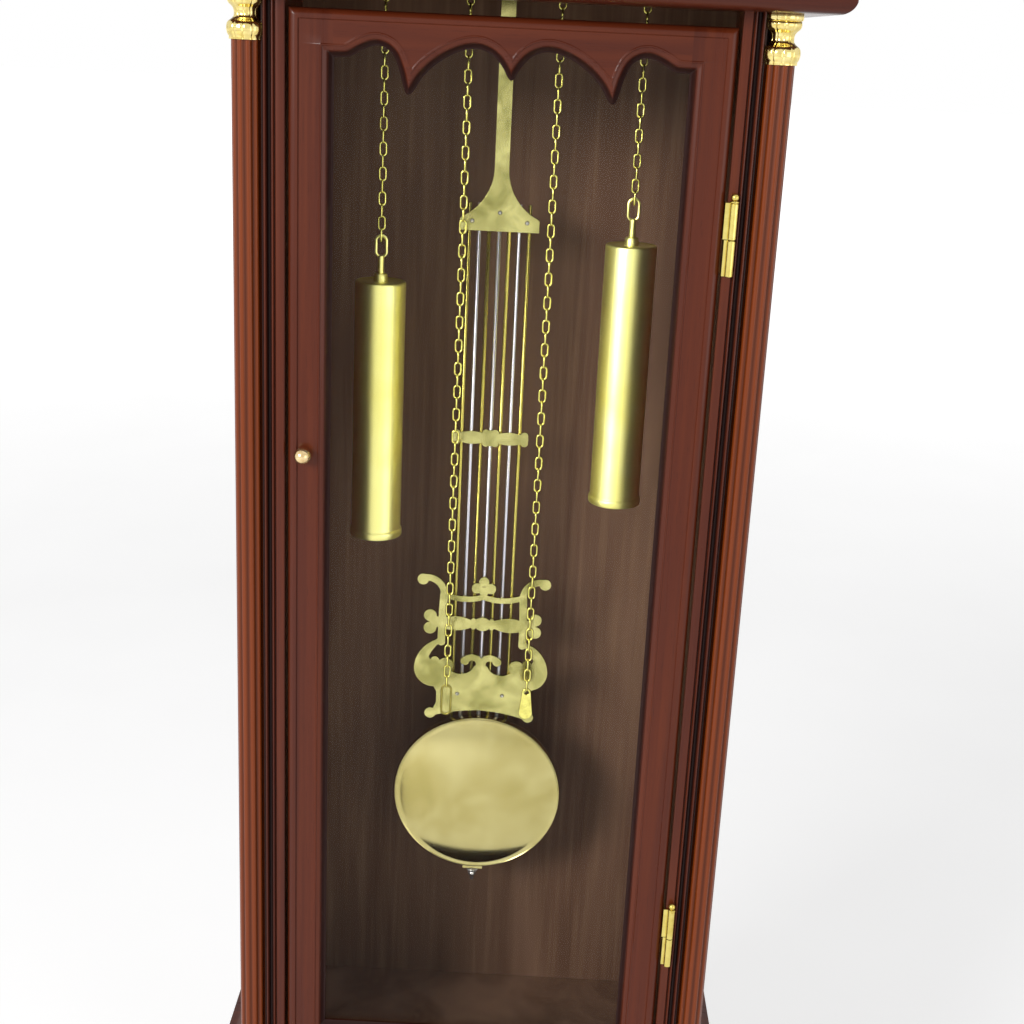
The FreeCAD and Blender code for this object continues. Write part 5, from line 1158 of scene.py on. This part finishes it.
def surround():
    """A pale surround that looks brighter than it lights."""
    world = bpy.data.worlds.new("pale_surround")
    bpy.context.scene.world = world
    world.use_nodes = True
    tree = world.node_tree
    level = between(tree, seen_background(tree), 0.0, 1.0, LIGHT_LEVEL, SEEN_LEVEL)
    sky = tree.nodes["Background"]
    sky.inputs["Color"].default_value = WHITE
    tree.links.new(level, sky.inputs["Strength"])


def floor_finish():
    """Matt pale floor: near white, faintly mottled, paler to the eye the farther it lies."""
    material, tree, shader, place = finish("matt_pale_floor", Roughness=0.9, Specular_IOR_Level=0.1)
    mottle = grained(tree, place, 300 * MM, 300 * MM, "Z", 2.0)
    tree.links.new(mixed(tree, mottle, "#eeeeee", "#f4f4f4"), shader.inputs["Base Color"])
    shader.inputs["Emission Color"].default_value = WHITE
    away = add(tree, "ShaderNodeVectorMath", {0: place}, operation="LENGTH").outputs["Value"]
    paler = between(tree, away, NEAR, FAR, NEAR_GLOW, FAR_GLOW)
    seen = add(tree, "ShaderNodeMath", {0: seen_background(tree), 1: paler},
               operation="MULTIPLY").outputs[0]
    tree.links.new(seen, shader.inputs["Emission Strength"])
    return material


def stage():
    """A plain pale floor, soft light from the front left, and a pale surround."""
    surround()
    maker = bmesh.new()
    corners = [(x * FLOOR_REACH, y * FLOOR_REACH, 0) for x, y in ((-1, -1), (1, -1), (1, 1), (-1, 1))]
    maker.faces.new([maker.verts.new(corner) for corner in corners])
    mesh = bpy.data.meshes.new("floor")
    maker.to_mesh(mesh)
    maker.free()
    mesh.materials.append(floor_finish())
    floor = bpy.data.objects.new("floor", mesh)
    bpy.context.scene.collection.objects.link(floor)
    for name, place, size, power in LAMPS:
        lamp = bpy.data.lights.new(name, "AREA")
        lamp.shape = "SQUARE"
        lamp.size = size
        lamp.energy = power
        holder = bpy.data.objects.new(name, lamp)
        bpy.context.scene.collection.objects.link(holder)
        holder.location = place
        holder.rotation_euler = (Vector(LIT_PLACE) - Vector(place)).to_track_quat("-Z", "Y").to_euler()


# The photograph's camera: its place in m, its angles in radians (down, to the side, tilt), and its
# sensor's width and focal length in mm
CAMERA_PLACE = (0.027, -1.2934, 1.4048)
PITCH_DOWN, YAW, ROLL = 0.30685, -0.00834, 0.04797
SENSOR_WIDTH, FOCAL_LENGTH = 36, 52.734


def camera():
    """The photograph's place and angle: close, above the middle, looking down at the trunk."""
    ahead = Vector((math.sin(YAW) * math.cos(PITCH_DOWN), math.cos(YAW) * math.cos(PITCH_DOWN),
                    -math.sin(PITCH_DOWN)))
    right = Vector((math.cos(YAW), -math.sin(YAW), 0))
    above = right.cross(ahead)
    across = right * math.cos(ROLL) + above * math.sin(ROLL)
    upward = above * math.cos(ROLL) - right * math.sin(ROLL)
    data = bpy.data.cameras.new("photograph_view")
    data.sensor_width = SENSOR_WIDTH
    data.lens = FOCAL_LENGTH
    eye = bpy.data.objects.new("photograph_view", data)
    bpy.context.scene.collection.objects.link(eye)
    turn = Matrix((across, upward, -ahead)).transposed()
    eye.matrix_world = Matrix.Translation(CAMERA_PLACE) @ turn.to_4x4()
    bpy.context.scene.camera = eye


for build in (dressed, case, stiles, columns, door_frame, capitals, hinges, knobs, weights, chains, bob,
              rods, plates, dial, stage, camera):
    build()
bpy.context.scene.view_settings.view_transform = "Standard"
